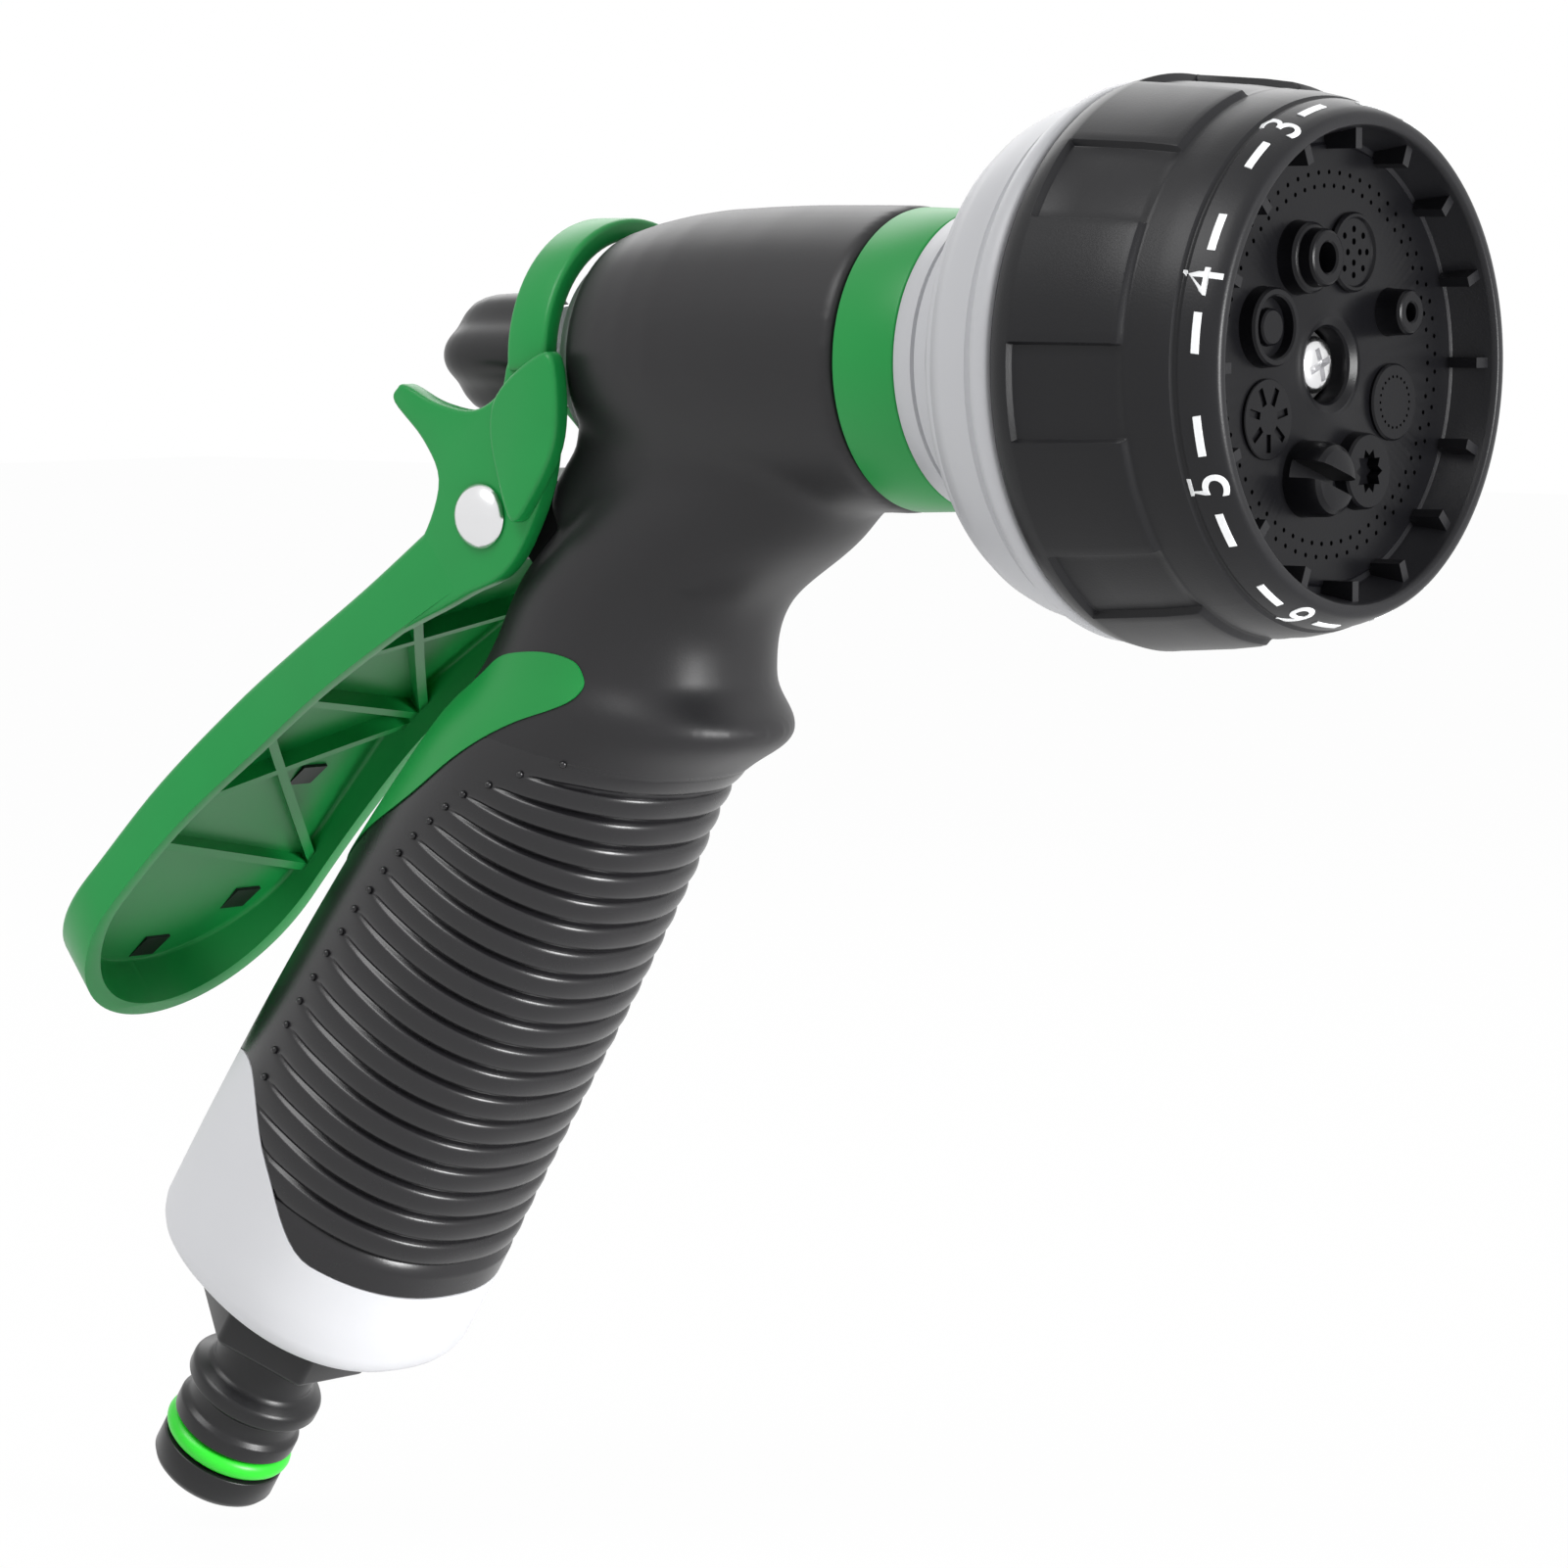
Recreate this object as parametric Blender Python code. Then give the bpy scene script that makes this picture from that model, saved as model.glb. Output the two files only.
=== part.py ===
"""Hose spray nozzle with a pistol grip, a rear trigger and a turning spray dial.

Metres, +Z up, +X the spray direction, Y across. The origin is the centre of the
hose connector's open end. The barrel lies along X, and the handle leans back from it.
"""
import math

import bmesh
import bpy
from mathutils import Matrix, Vector

# Fits
CLEAR = 0.0003
OVERCUT = 0.002

# Layout: the barrel axis, the handle's lean and the trigger pivot
BARREL_X = 0.1435
BARREL_Z = 0.1374
HANDLE_LEAN = math.radians(33.5)
PIVOT_BACK = 0.0840
PIVOT_DROP = 0.0180

# Round resolution
FINE = 30
MEDIUM = 18
COARSE = 10
HANDLE_STEPS = 24
OFF_GRID = 0.11

# Barrel, along the barrel axis from the dial's rear edge
GRIP_RADIUS = 0.0170
NECK_RADIUS = 0.0166
NECK_REAR = -0.0314
NECK_FRONT = -0.0233
GRIP_REAR = -0.0725
GRIP_REAR_RADIUS = 0.0142
CORE_RADIUS = 0.0137
CORE_REAR_RADIUS = 0.0124
CORE_BORE = 0.0105
CORE_FRONT = -0.0180
SEAT_REAR = -0.0500
SEAT_WALL = 0.0040
SEAT_HOLE = 0.0050

# Handle, along the handle axis from the connector's open end
COLLAR_BOTTOM = 0.0310
COLLAR_FLOOR = 0.0030
GRIP_WALL = 0.0030
CORE_WALL = 0.0030
HANDLE_SECTIONS = (
    # rear station, rear depth, front station, front depth, half width
    (0.0250, 0.0192, 0.0250, 0.0192, 0.0188),
    (0.0450, 0.0193, 0.0450, 0.0193, 0.0186),
    (0.0650, 0.0188, 0.0650, 0.0188, 0.0182),
    (0.0850, 0.0176, 0.0850, 0.0186, 0.0176),
    (0.0985, 0.0161, 0.1020, 0.0180, 0.0170),
    (0.1060, 0.0148, 0.1170, 0.0172, 0.0166),
    (0.1120, 0.0135, 0.1275, 0.0214, 0.0160),
    (0.1175, 0.0131, 0.1335, 0.0158, 0.0150),
    (0.1270, 0.0136, 0.1405, 0.0136, 0.0145),
    (0.1400, 0.0114, 0.1530, 0.0186, 0.0136),
    (0.1510, 0.0090, 0.1650, 0.0200, 0.0110),
)
SECTION_POWER = 2.3
RIBS = 21
RIB_DEPTH = 0.0009
RIB_START = 0.0470
RIB_END = 0.1150
SOCKET_TOP = 0.0420
WATERWAY_BOTTOM = 0.0480
SADDLE_BOTTOM = 0.0700
LEAF_REACH = 0.0300
WATERWAY_HOLE = 0.0050
RISER_HOLE = 0.0060
RISER_BACK = 0.0620
RISER_DROPS = (0.0350, 0.0040)

# Collar edge: height over the collar's bottom, in front, at the sides' peak and behind
COLLAR_FRONT = 0.0130
COLLAR_PEAK = 0.0270
COLLAR_BACK = 0.0190

# Hose connector, a standard quick-connect nipple
CONNECTOR_BORE = 0.0045
NIPPLE_RADIUS = 0.0078
ORING_RADIUS = 0.0081
ORING_WIRE = 0.0013
ORING_STATION = 0.0062
NECK_WAIST = 0.0064
RIDGE_RADIUS = 0.0084
HEX_BOTTOM = 0.0225
HEX_RADIUS = 0.0112
SPIGOT_RADIUS = 0.0082
WASHER_THICKNESS = 0.0015

# Dial head
DIAL_RADIUS = 0.0308
DIAL_LENGTH = 0.0265
BEZEL_START = 0.0163
BEZEL_RADIUS = DIAL_RADIUS - 0.0021
RIM_RADIUS = DIAL_RADIUS - 0.0050
RECESS_RADIUS = DIAL_RADIUS - 0.0079
RECESS_FLOOR = 0.0217
SKIRT_BORE = DIAL_RADIUS - 0.0034
SKIRT_DEPTH = 0.0126
PLATE_RADIUS = DIAL_RADIUS - 0.0062
PLATE_THICKNESS = 0.0033
CHANNEL_REAR = 0.0137
LIP_WIDTH = 0.0007
DIAL_PADS = 8
PAD_TURN = math.radians(5.0)
PAD_DEPTH = 0.0012
PAD_BOX = (0.0040, 0.0100, 0.0140)
PAD_MIDDLE = 0.0103
POSITIONS = 8
FIRST_ANGLE = math.radians(26.0)
OUTLET_CIRCLE = 0.0124
OUTLETS = (
    # outside radius, height over the plate, hole radius, in turn from FIRST_ANGLE
    (0.0024, 0.0030, 0.0010),
    (0.0040, 0.0006, 0.0026),
    (0.0037, 0.0038, 0.0016),
    (0.0041, 0.0018, 0.0030),
    (0.0041, 0.0004, 0.0028),
    (0.0040, 0.0040, 0.0017),
    (0.0040, 0.0016, 0.0021),
    (0.0039, 0.0004, 0.0026),
)
CENTRE_HOLE = 0.0040
POST_RADIUS = 0.0026
HUB_RADIUS = 0.0050
SCREW_SHANK = 0.0011
SCREW_HEAD = 0.0030
SCREW_DOME = 0.0018
SCREW_SLOT = (0.0034, 0.0008, 0.0020)
DIAL_WASHER = 0.0006
PORT_BOSS = 0.0062
PORT_SEAL_RADIUS = 0.0046
PORT_HOLE = 0.0026
CLICK_CIRCLE = PLATE_RADIUS - 0.0046
CLICK_RADIUS = 0.0016
CLICK_BOSS = 0.0030
CLICK_LENGTH = 0.0030
CLICK_SPRING_WIRE = 0.0003
PORT_SPRING_WIRE = 0.0004
DETENT_DEPTH = 0.0007
DETENT_RADIUS = 0.0012
FLANGE_FACE = 0.0070
FLANGE_WALL = 0.0030
FLANGE_RIM = DIAL_RADIUS - 0.0010
FLANGE_ROOM = FLANGE_RIM - 0.0098

# Valve
STEM_RADIUS = 0.0016
POPPET_RADIUS = 0.0076
POPPET_LENGTH = 0.0050
POPPET_DISC = 0.0025
POPPET_HUB = 0.0036
SEAL_THICKNESS = 0.0010
GLAND_FLANGE = 0.0118
GLAND_REAR = -0.0755
GLAND_FRONT = -0.0665
STEM_SEAL_WIRE = 0.00075
STEM_SEAL_POCKET = 0.0036
SPRING_WIRE = 0.00050
SPRING_RADIUS = 0.0050
SPRING_TURNS = 4.5

# Flow knob
KNOB_RADIUS = 0.0072
KNOB_FRONT = -0.0852
KNOB_LENGTH = 0.0140
KNOB_LOBES = 4
KNOB_LOBE_DEPTH = 0.0005
THRUST_RADIUS = 0.0058
THRUST_THICKNESS = 0.0014

# Trigger, from its pivot
LEVER_SLOPE = math.radians(37.25)
LEVER_LENGTH = 0.0943
LEVER_START = 0.0060
LEVER_SHARES = (0.147, 0.230, 0.335, 0.440, 0.524, 0.628, 0.733)
LEVER_END_STEPS = (0.0200, 0.0155, 0.0105, 0.0065, 0.0035, 0.0015)
LEVER_END_ROUND = 0.0180
LEVER_WIDTH = 0.0364
LEVER_FORM = (
    # share of the lever, share of its width, depth of the open rim and of the palm side
    (0.064, 0.821, -0.0046, 0.0038),
    (0.210, 0.838, -0.0028, 0.0041),
    (0.350, 0.838, -0.0014, 0.0050),
    (0.480, 0.840, -0.0010, 0.0055),
    (0.640, 0.945, -0.0016, 0.0042),
    (0.800, 1.000, -0.0036, 0.0019),
    (0.900, 1.000, -0.0058, 0.0009),
    (1.000, 1.000, -0.0082, 0.0002),
)
LEVER_WALL = 0.0018
LEVER_FLOOR = 0.0018
CHEEK_INSIDE = 0.0124
CHEEK_WALL = 0.0026
BOSS_ROOT = 0.0002
BOSS_HEIGHT = 0.0015
HOOP_INSIDE = 0.0132
HOOP_THICKNESS = 0.0025
HOOP_REAR = 0.0045
HOOP_WIDTH = 0.0058
PRONG_RADIUS = 0.0025
RIVET_RADIUS = 0.0020
RIVET_HEAD = 0.0037
RIVET_DOME = 0.0016
LUG_RADIUS = 0.0052
LUG_HALF_WIDTH = 0.0100
PAD_THICKNESS = 0.0010
ANCHOR_HALF = 0.0017
ANCHORS = (
    # share of the lever and place across it
    (0.620, 0.0060),
    (0.835, 0.0085),
    (0.915, 0.0),
)
CHANNEL_RIB_HALF = 0.0007
CHANNEL_RIB_SINK = 0.40
CHANNEL_RIBS = (
    # share of the lever and side where each rib starts and ends
    (0.147, -1, 0.470, 1),
    (0.345, -1, 0.200, 1),
    (0.415, -1, 0.480, 1),
    (0.455, -1, 0.780, 1),
    (0.650, -1, 0.495, 1),
    (0.705, -1, 0.790, 1),
)


def clear_scene():
    """Remove every object that the file opened with."""
    for item in list(bpy.data.objects):
        bpy.data.objects.remove(item, do_unlink=True)


def finish(name, colour, roughness, metallic=0.0):
    """Return a plain material of one colour."""
    made = bpy.data.materials.new(name)
    made.use_nodes = True
    shader = made.node_tree.nodes["Principled BSDF"]
    shader.inputs["Base Color"].default_value = (*colour, 1.0)
    shader.inputs["Roughness"].default_value = roughness
    shader.inputs["Metallic"].default_value = metallic
    return made


def axis_frame(name, location, turn):
    """Return an empty at a place, turned about Y."""
    empty = bpy.data.objects.new(name, None)
    empty.location = location
    empty.rotation_euler = (0.0, turn, 0.0)
    bpy.context.collection.objects.link(empty)
    return empty


def add_object(name, data, parent, skin):
    """Link an object under its frame and give it its material."""
    item = bpy.data.objects.new(name, data)
    item.parent = parent
    if skin:
        data.materials.append(skin)
    bpy.context.collection.objects.link(item)
    return item


def add_mesh(name, bm, parent, skin):
    """Close a bmesh into an object with its faces pointing out."""
    bmesh.ops.remove_doubles(bm, verts=bm.verts, dist=1e-7)
    bmesh.ops.recalc_face_normals(bm, faces=bm.faces)
    mesh = bpy.data.meshes.new(name)
    bm.to_mesh(mesh)
    bm.free()
    mesh.shade_smooth()
    mesh.set_sharp_from_angle(angle=math.radians(30.0))
    return add_object(name, mesh, parent, skin)


def fill_loft(bm, rings, cyclic=False, fan=True):
    """Skin a row of equal rings, closing the ends or joining the last to the first."""
    rows = [[bm.verts.new(point) for point in ring] for ring in rings]
    pairs = list(zip(rows, rows[1:]))
    if cyclic:
        pairs.append((rows[-1], rows[0]))
    for low, high in pairs:
        for i in range(len(low)):
            j = (i + 1) % len(low)
            bm.faces.new((low[i], low[j], high[j], high[i]))
    if cyclic:
        return
    for row in (rows[0], rows[-1]):
        if not fan:
            bm.faces.new(row)
            continue
        middle = bm.verts.new(sum((vert.co for vert in row), Vector()) / len(row))
        for first, second in zip(row, row[1:] + row[:1]):
            bm.faces.new((first, second, middle))


def loft(name, rings, parent, skin=None, cyclic=False, fan=True):
    """Make one body through a row of rings."""
    bm = bmesh.new()
    fill_loft(bm, rings, cyclic, fan)
    return add_mesh(name, bm, parent, skin)


def turned(name, profile, parent, skin=None, steps=FINE, at=(0.0, 0.0)):
    """Turn a closed outline of (along, radius) points about the frame's Z axis."""
    bm = bmesh.new()
    verts = [bm.verts.new((radius, 0.0, along)) for along, radius in profile]
    for first, second in zip(verts, verts[1:] + verts[:1]):
        if max(first.co.x, second.co.x) > 0.0:
            bm.edges.new((first, second))
    bmesh.ops.spin(bm, geom=bm.verts[:] + bm.edges[:], cent=(0.0, 0.0, 0.0), axis=(0.0, 0.0, 1.0),
                   angle=math.tau, steps=steps, use_merge=True)
    if skin is None:
        bmesh.ops.rotate(bm, verts=bm.verts, cent=(0.0, 0.0, 0.0), matrix=Matrix.Rotation(OFF_GRID, 3, "Z"))
    bmesh.ops.translate(bm, verts=bm.verts, vec=(at[0], at[1], 0.0))
    return add_mesh(name, bm, parent, skin)


def rod(low, high, radius):
    """Return the outline of a plain round bar for turned."""
    return [(low, 0.0), (low, radius), (high, radius), (high, 0.0)]


def rods(name, bars, parent):
    """Make several separate round bars in one tool, each (low, high, radius, place)."""
    bm = bmesh.new()
    for low, high, radius, place in bars:
        fill_loft(bm, [[point + Vector((*place, 0.0)) for point in circle(radius, along, COARSE, OFF_GRID)]
                       for along in (low, high)])
    return add_mesh(name, bm, parent, None)


def ring(low, high, inside, outside):
    """Return the outline of a plain ring for turned."""
    return [(low, inside), (low, outside), (high, outside), (high, inside)]


def round_ring(centre, radius, wire, points=10):
    """Return the outline of an O-ring for turned."""
    turns = [math.tau * i / points for i in range(points)]
    return [(centre + wire * math.sin(turn), radius + wire * math.cos(turn)) for turn in turns]


def prism(name, outline, low, high, parent, skin=None):
    """Extrude an (x, z) outline across Y."""
    rings = [[Vector((x, y, z)) for x, z in outline] for y in (low, high)]
    return loft(name, rings, parent, skin, fan=False)


def spring(name, radius, wire, low, high, turns, parent, skin, at=(0.0, 0.0)):
    """Wind a helical spring along Z and return its tube."""
    steps = int(turns * 8)
    curve = bpy.data.curves.new(name, "CURVE")
    curve.dimensions = "3D"
    curve.bevel_depth = wire
    curve.bevel_resolution = 1
    curve.use_fill_caps = True
    line = curve.splines.new("POLY")
    line.points.add(steps)
    for i, point in enumerate(line.points):
        angle = math.tau * turns * i / steps
        along = low + wire + (high - low - 2.0 * wire) * i / steps
        point.co = (at[0] + radius * math.cos(angle), at[1] + radius * math.sin(angle), along, 1.0)
    return add_object(name, curve, parent, skin)


def hide_tool(tool):
    """Keep a cutting or joining body out of the finished part."""
    tool.hide_render = True
    tool.display_type = "WIRE"


def combine(item, operation, *tools):
    """Cut, join or intersect an object with other bodies."""
    for tool in tools:
        step = item.modifiers.new(tool.name, "BOOLEAN")
        step.operation = operation
        step.solver = "EXACT"
        step.object = tool
        hide_tool(tool)


def cut(item, *tools):
    """Cut bodies out of an object."""
    combine(item, "DIFFERENCE", *tools)


def join(item, *tools):
    """Join bodies onto an object."""
    combine(item, "UNION", *tools)


def around(radius, angle):
    """Return a place in the barrel frame, whose X points down and Y across."""
    return (-radius * math.sin(angle), radius * math.cos(angle))


def smooth(low, high, value):
    """Return a smooth step from 0 to 1 between two values."""
    share = min(max((value - low) / (high - low), 0.0), 1.0)
    return share * share * (3.0 - 2.0 * share)


def blend(values, place):
    """Read a smooth curve through rows of values at a fractional row."""
    last = len(values) - 1
    index = min(int(place), last - 1)
    t = place - index
    rows = [values[min(max(index + k, 0), last)] for k in (-1, 0, 1, 2)]
    return [0.5 * (2.0 * b + (c - a) * t + (2.0 * a - 5.0 * b + 4.0 * c - d) * t * t
                   + (3.0 * b - a - 3.0 * c + d) * t ** 3) for a, b, c, d in zip(*rows)]


def section_place(station):
    """Return the fractional row of HANDLE_SECTIONS whose front lies at a station."""
    low, high = 0.0, len(HANDLE_SECTIONS) - 1.0
    for _ in range(40):
        middle = 0.5 * (low + high)
        if blend(HANDLE_SECTIONS, middle)[2] < station:
            low = middle
        else:
            high = middle
    return low


def handle_point(place, angle, inset=0.0, station=None, rib=0.0):
    """Return a point of the handle's skin; angle 0 is the front, half a turn the rear."""
    rear_at, rear, front_at, front, half = blend(HANDLE_SECTIONS, place)
    power = 2.0 / SECTION_POWER
    depth = math.copysign(abs(math.cos(angle)) ** power, math.cos(angle))
    across = math.copysign(abs(math.sin(angle)) ** power, math.sin(angle))
    share = 0.5 * (1.0 + depth)
    turn = min(angle, math.tau - angle)
    groove = rib * (1.0 - smooth(math.radians(75.0), math.radians(120.0), turn))
    inset = inset + groove
    along = rear_at + (front_at - rear_at) * share if station is None else station
    return Vector((-(rear - inset) + (rear + front - 2.0 * inset) * share, (half - inset) * across, along))


def handle_ring(place, inset=0.0, rib=0.0, steps=HANDLE_STEPS):
    """Return one ring of the handle's skin."""
    return [handle_point(place, math.tau * i / steps, inset, None, rib) for i in range(steps)]


def handle_body(name, inset, bottom, top_place, parent, skin=None):
    """Make a smooth solid that fills the handle up to a row of its sections."""
    start = section_place(bottom)
    halves = [0.5 * i for i in range(2 * len(HANDLE_SECTIONS)) if start + 0.1 < 0.5 * i < top_place - 0.1]
    places = [start] + halves + [top_place]
    return loft(name, [handle_ring(place, inset) for place in places], parent, skin)


def collar_edge(angle):
    """Return how high the collar's edge stands over its bottom at an angle round the handle."""
    turn = min(angle, math.tau - angle)
    peak_at = math.radians(130.0)
    if turn < peak_at:
        return COLLAR_FRONT + (COLLAR_PEAK - COLLAR_FRONT) * smooth(math.radians(60.0), peak_at, turn)
    return COLLAR_PEAK - (COLLAR_PEAK - COLLAR_BACK) * smooth(peak_at, math.pi, turn)


def edge_ring(rise, inset):
    """Return a ring of the handle's skin that follows the collar's edge."""
    points = []
    for i in range(HANDLE_STEPS):
        angle = math.tau * i / HANDLE_STEPS
        station = COLLAR_BOTTOM + collar_edge(angle) + rise
        points.append(handle_point(section_place(station), angle, inset, station))
    return points


def level_ring(station, inset):
    """Return a ring of the handle's straight part at one station."""
    return handle_ring(section_place(station), inset)


def circle(radius, along, steps=FINE, turn=0.0):
    """Return a round ring about the frame's Z axis."""
    return [Vector((radius * math.cos(turn + math.tau * i / steps),
                    radius * math.sin(turn + math.tau * i / steps), along)) for i in range(steps)]


def grown(outline, gap):
    """Return an outline whose edges are all moved out by a gap."""
    points = [Vector(point) for point in outline]
    area = sum(a.x * b.y - b.x * a.y for a, b in zip(points, points[1:] + points[:1]))
    side = math.copysign(1.0, area)
    moved = []
    for before, here, after in zip(points[-1:] + points[:-1], points, points[1:] + points[:1]):
        first = (here - before).normalized()
        second = (after - here).normalized()
        normals = [Vector((way.y, -way.x)) * side for way in (first, second)]
        middle = (normals[0] + normals[1]).normalized()
        moved.append(tuple(here + middle * gap / max(middle.dot(normals[0]), 0.3)))
    return moved


def saddle_outline(grow):
    """Return the side outline of the green saddle in the handle frame, grown by a gap."""
    leaf = ((0.0040, 0.1272), (-0.0006, 0.1256), (-0.0054, 0.1214), (-0.0110, 0.1185), (-0.0240, 0.1180),
            (-0.0240, 0.0740), (-0.0180, 0.0800), (-0.0135, 0.0890), (-0.0113, 0.0945), (-0.0086, 0.1009),
            (-0.0053, 0.1073), (-0.0017, 0.1142), (0.0024, 0.1189), (0.0062, 0.1225), (0.0066, 0.1252))
    return grown(leaf, grow)


def lug_outline(grow):
    """Return the side outline of the pivot lug about the pivot, grown by a gap."""
    radius = LUG_RADIUS + grow
    turns = [math.radians(degrees) for degrees in range(80, 301, 20)]
    arc = [(radius * math.cos(turn), radius * math.sin(turn)) for turn in turns]
    return arc + [(0.0125 + grow, -0.0160 - grow), (0.0160 + grow, 0.0025 + grow)]


def barrel_void(name, parent, gap):
    """Return the space that the core's barrel takes up, with a gap round it."""
    step = GRIP_REAR + 0.0140
    return turned(name, [(GRIP_REAR - OVERCUT, 0.0), (GRIP_REAR - OVERCUT, CORE_REAR_RADIUS + gap),
                         (step, CORE_REAR_RADIUS + gap), (step + 0.0020, CORE_RADIUS + gap),
                         (NECK_REAR + OVERCUT, CORE_RADIUS + gap), (NECK_REAR + OVERCUT, 0.0)], parent)


def make_core(frames, skin):
    """Make the rigid inner body: barrel, handle, valve seat, waterway and pivot lug."""
    barrel, handle, pivot = frames
    step = GRIP_REAR + 0.0140
    rear = GRIP_REAR + CLEAR
    core = turned("core_body", [(rear, 0.0), (rear, CORE_REAR_RADIUS), (step, CORE_REAR_RADIUS),
                                (step + 0.0020, CORE_RADIUS), (CORE_FRONT, CORE_RADIUS), (CORE_FRONT, 0.0)],
                  barrel, skin)
    stalk = handle_body("core_stalk", GRIP_WALL + CLEAR, COLLAR_BOTTOM + COLLAR_FLOOR + CLEAR, 9.4, handle)
    lug = prism("core_lug", lug_outline(0.0), -LUG_HALF_WIDTH, LUG_HALF_WIDTH, pivot)
    join(core, stalk, lug)
    rear_room = turned("core_rear_room", rod(rear - OVERCUT, SEAT_REAR, CORE_BORE), barrel)
    seat_front = SEAT_REAR + SEAT_WALL
    front_room = turned("core_front_room", rod(seat_front, CORE_FRONT + OVERCUT, CORE_BORE), barrel)
    seat = turned("core_seat_hole", rod(SEAT_REAR - OVERCUT, seat_front + OVERCUT, SEAT_HOLE), barrel,
                  steps=COARSE)
    waterway = handle_body("core_waterway", GRIP_WALL + CLEAR + CORE_WALL, WATERWAY_BOTTOM, 8.2, handle)
    riser = loft("core_riser", [circle(RISER_HOLE, -drop, COARSE) for drop in RISER_DROPS],
                 axis_frame("riser", (BARREL_X - RISER_BACK, 0.0, BARREL_Z), 0.0))
    socket_shape = rod(COLLAR_BOTTOM, SOCKET_TOP, SPIGOT_RADIUS + CLEAR)
    socket = turned("core_socket", socket_shape, handle, steps=MEDIUM)
    inlet_shape = rod(SOCKET_TOP - OVERCUT, WATERWAY_BOTTOM + OVERCUT, WATERWAY_HOLE)
    inlet = turned("core_inlet", inlet_shape, handle, steps=COARSE)
    pin_hole = across_bar("core_pin_hole", RIVET_RADIUS + CLEAR, LUG_HALF_WIDTH + OVERCUT, pivot)
    cut(core, rear_room, front_room, seat, waterway, riser, socket, inlet, pin_hole)


def across_bar(name, radius, half, parent, skin=None, centre=(0.0, 0.0), low=None):
    """Make a round bar along Y about a point of the frame's XZ plane."""
    start = -half if low is None else low
    turns = [OFF_GRID + math.tau * i / COARSE for i in range(COARSE)]
    spokes = [(centre[0] + radius * math.cos(turn), centre[1] + radius * math.sin(turn)) for turn in turns]
    rings = [[Vector((x, y, z)) for x, z in spokes] for y in (start, half)]
    return loft(name, rings, parent, skin)


def make_grip(frames, skin):
    """Make the soft black overmould with its finger ribs and finger rest."""
    barrel, handle, pivot = frames
    front = NECK_REAR - CLEAR
    grip = turned("grip_overmould", [(GRIP_REAR, 0.0), (GRIP_REAR, GRIP_REAR_RADIUS - 0.0006),
                                     (GRIP_REAR + 0.0008, GRIP_REAR_RADIUS), (GRIP_REAR + 0.0055, 0.0154),
                                     (GRIP_REAR + 0.0140, 0.0166), (GRIP_REAR + 0.0260, GRIP_RADIUS),
                                     (front - 0.0008, NECK_RADIUS + 0.0003), (front, NECK_RADIUS - 0.0003),
                                     (front, 0.0)], barrel, skin)
    pitch = (RIB_END - RIB_START) / RIBS
    rings = [level_ring(COLLAR_BOTTOM, 0.0)]
    for i in range(RIBS):
        rings.append(handle_ring(section_place(RIB_START + pitch * i), 0.0, RIB_DEPTH))
        rings.append(handle_ring(section_place(RIB_START + pitch * (i + 0.45))))
    start = section_place(RIB_END)
    top = len(HANDLE_SECTIONS) - 1
    upper = 11
    rings += [handle_ring(start + (top - start) * i / upper) for i in range(upper + 1)]
    join(grip, loft("grip_handle", rings, handle))
    below = loft("grip_below", [level_ring(0.0260, -0.004), edge_ring(2.0 * CLEAR, -0.004),
                                edge_ring(2.0 * CLEAR, GRIP_WALL + 0.001)], handle)
    stalk = handle_body("grip_stalk_room", GRIP_WALL, 0.0260, 9.8, handle)
    lug = prism("grip_lug_slot", lug_outline(CLEAR), -LUG_HALF_WIDTH - CLEAR, LUG_HALF_WIDTH + CLEAR, pivot)
    leaf = prism("grip_saddle_window", saddle_outline(CLEAR), -LEAF_REACH, LEAF_REACH, handle)
    cut(grip, leaf, lug, barrel_void("grip_barrel_room", barrel, CLEAR), stalk, below)


def make_trim(frames, green, grey):
    """Make the green neck ring and saddle and the grey collar of the handle."""
    barrel, handle = frames[:2]
    turned("neck_ring", [(NECK_REAR, CORE_RADIUS + CLEAR), (NECK_REAR, NECK_RADIUS),
                         (NECK_REAR + 0.0005, NECK_RADIUS + 0.0002), (NECK_FRONT, NECK_RADIUS - 0.0002),
                         (NECK_FRONT, CORE_RADIUS + CLEAR)], barrel, green)
    saddle = handle_body("handle_saddle", 0.0, SADDLE_BOTTOM, 7.0, handle, green)
    leaf = prism("saddle_leaf", saddle_outline(0.0), -LEAF_REACH, LEAF_REACH, handle)
    combine(saddle, "INTERSECT", leaf)
    cut(saddle, handle_body("saddle_stalk_room", GRIP_WALL, SADDLE_BOTTOM - 2.0 * OVERCUT, 9.0, handle))
    floor = COLLAR_BOTTOM + COLLAR_FLOOR
    rings = [level_ring(COLLAR_BOTTOM, 0.0030), level_ring(COLLAR_BOTTOM + 0.0010, 0.0009),
             level_ring(COLLAR_BOTTOM + 0.0030, 0.0), edge_ring(0.0, 0.0), edge_ring(0.0, GRIP_WALL),
             level_ring(floor, GRIP_WALL), circle(SPIGOT_RADIUS + CLEAR, floor, HANDLE_STEPS),
             circle(SPIGOT_RADIUS + CLEAR, COLLAR_BOTTOM, HANDLE_STEPS)]
    loft("handle_collar", rings, handle, grey, cyclic=True)


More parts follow.
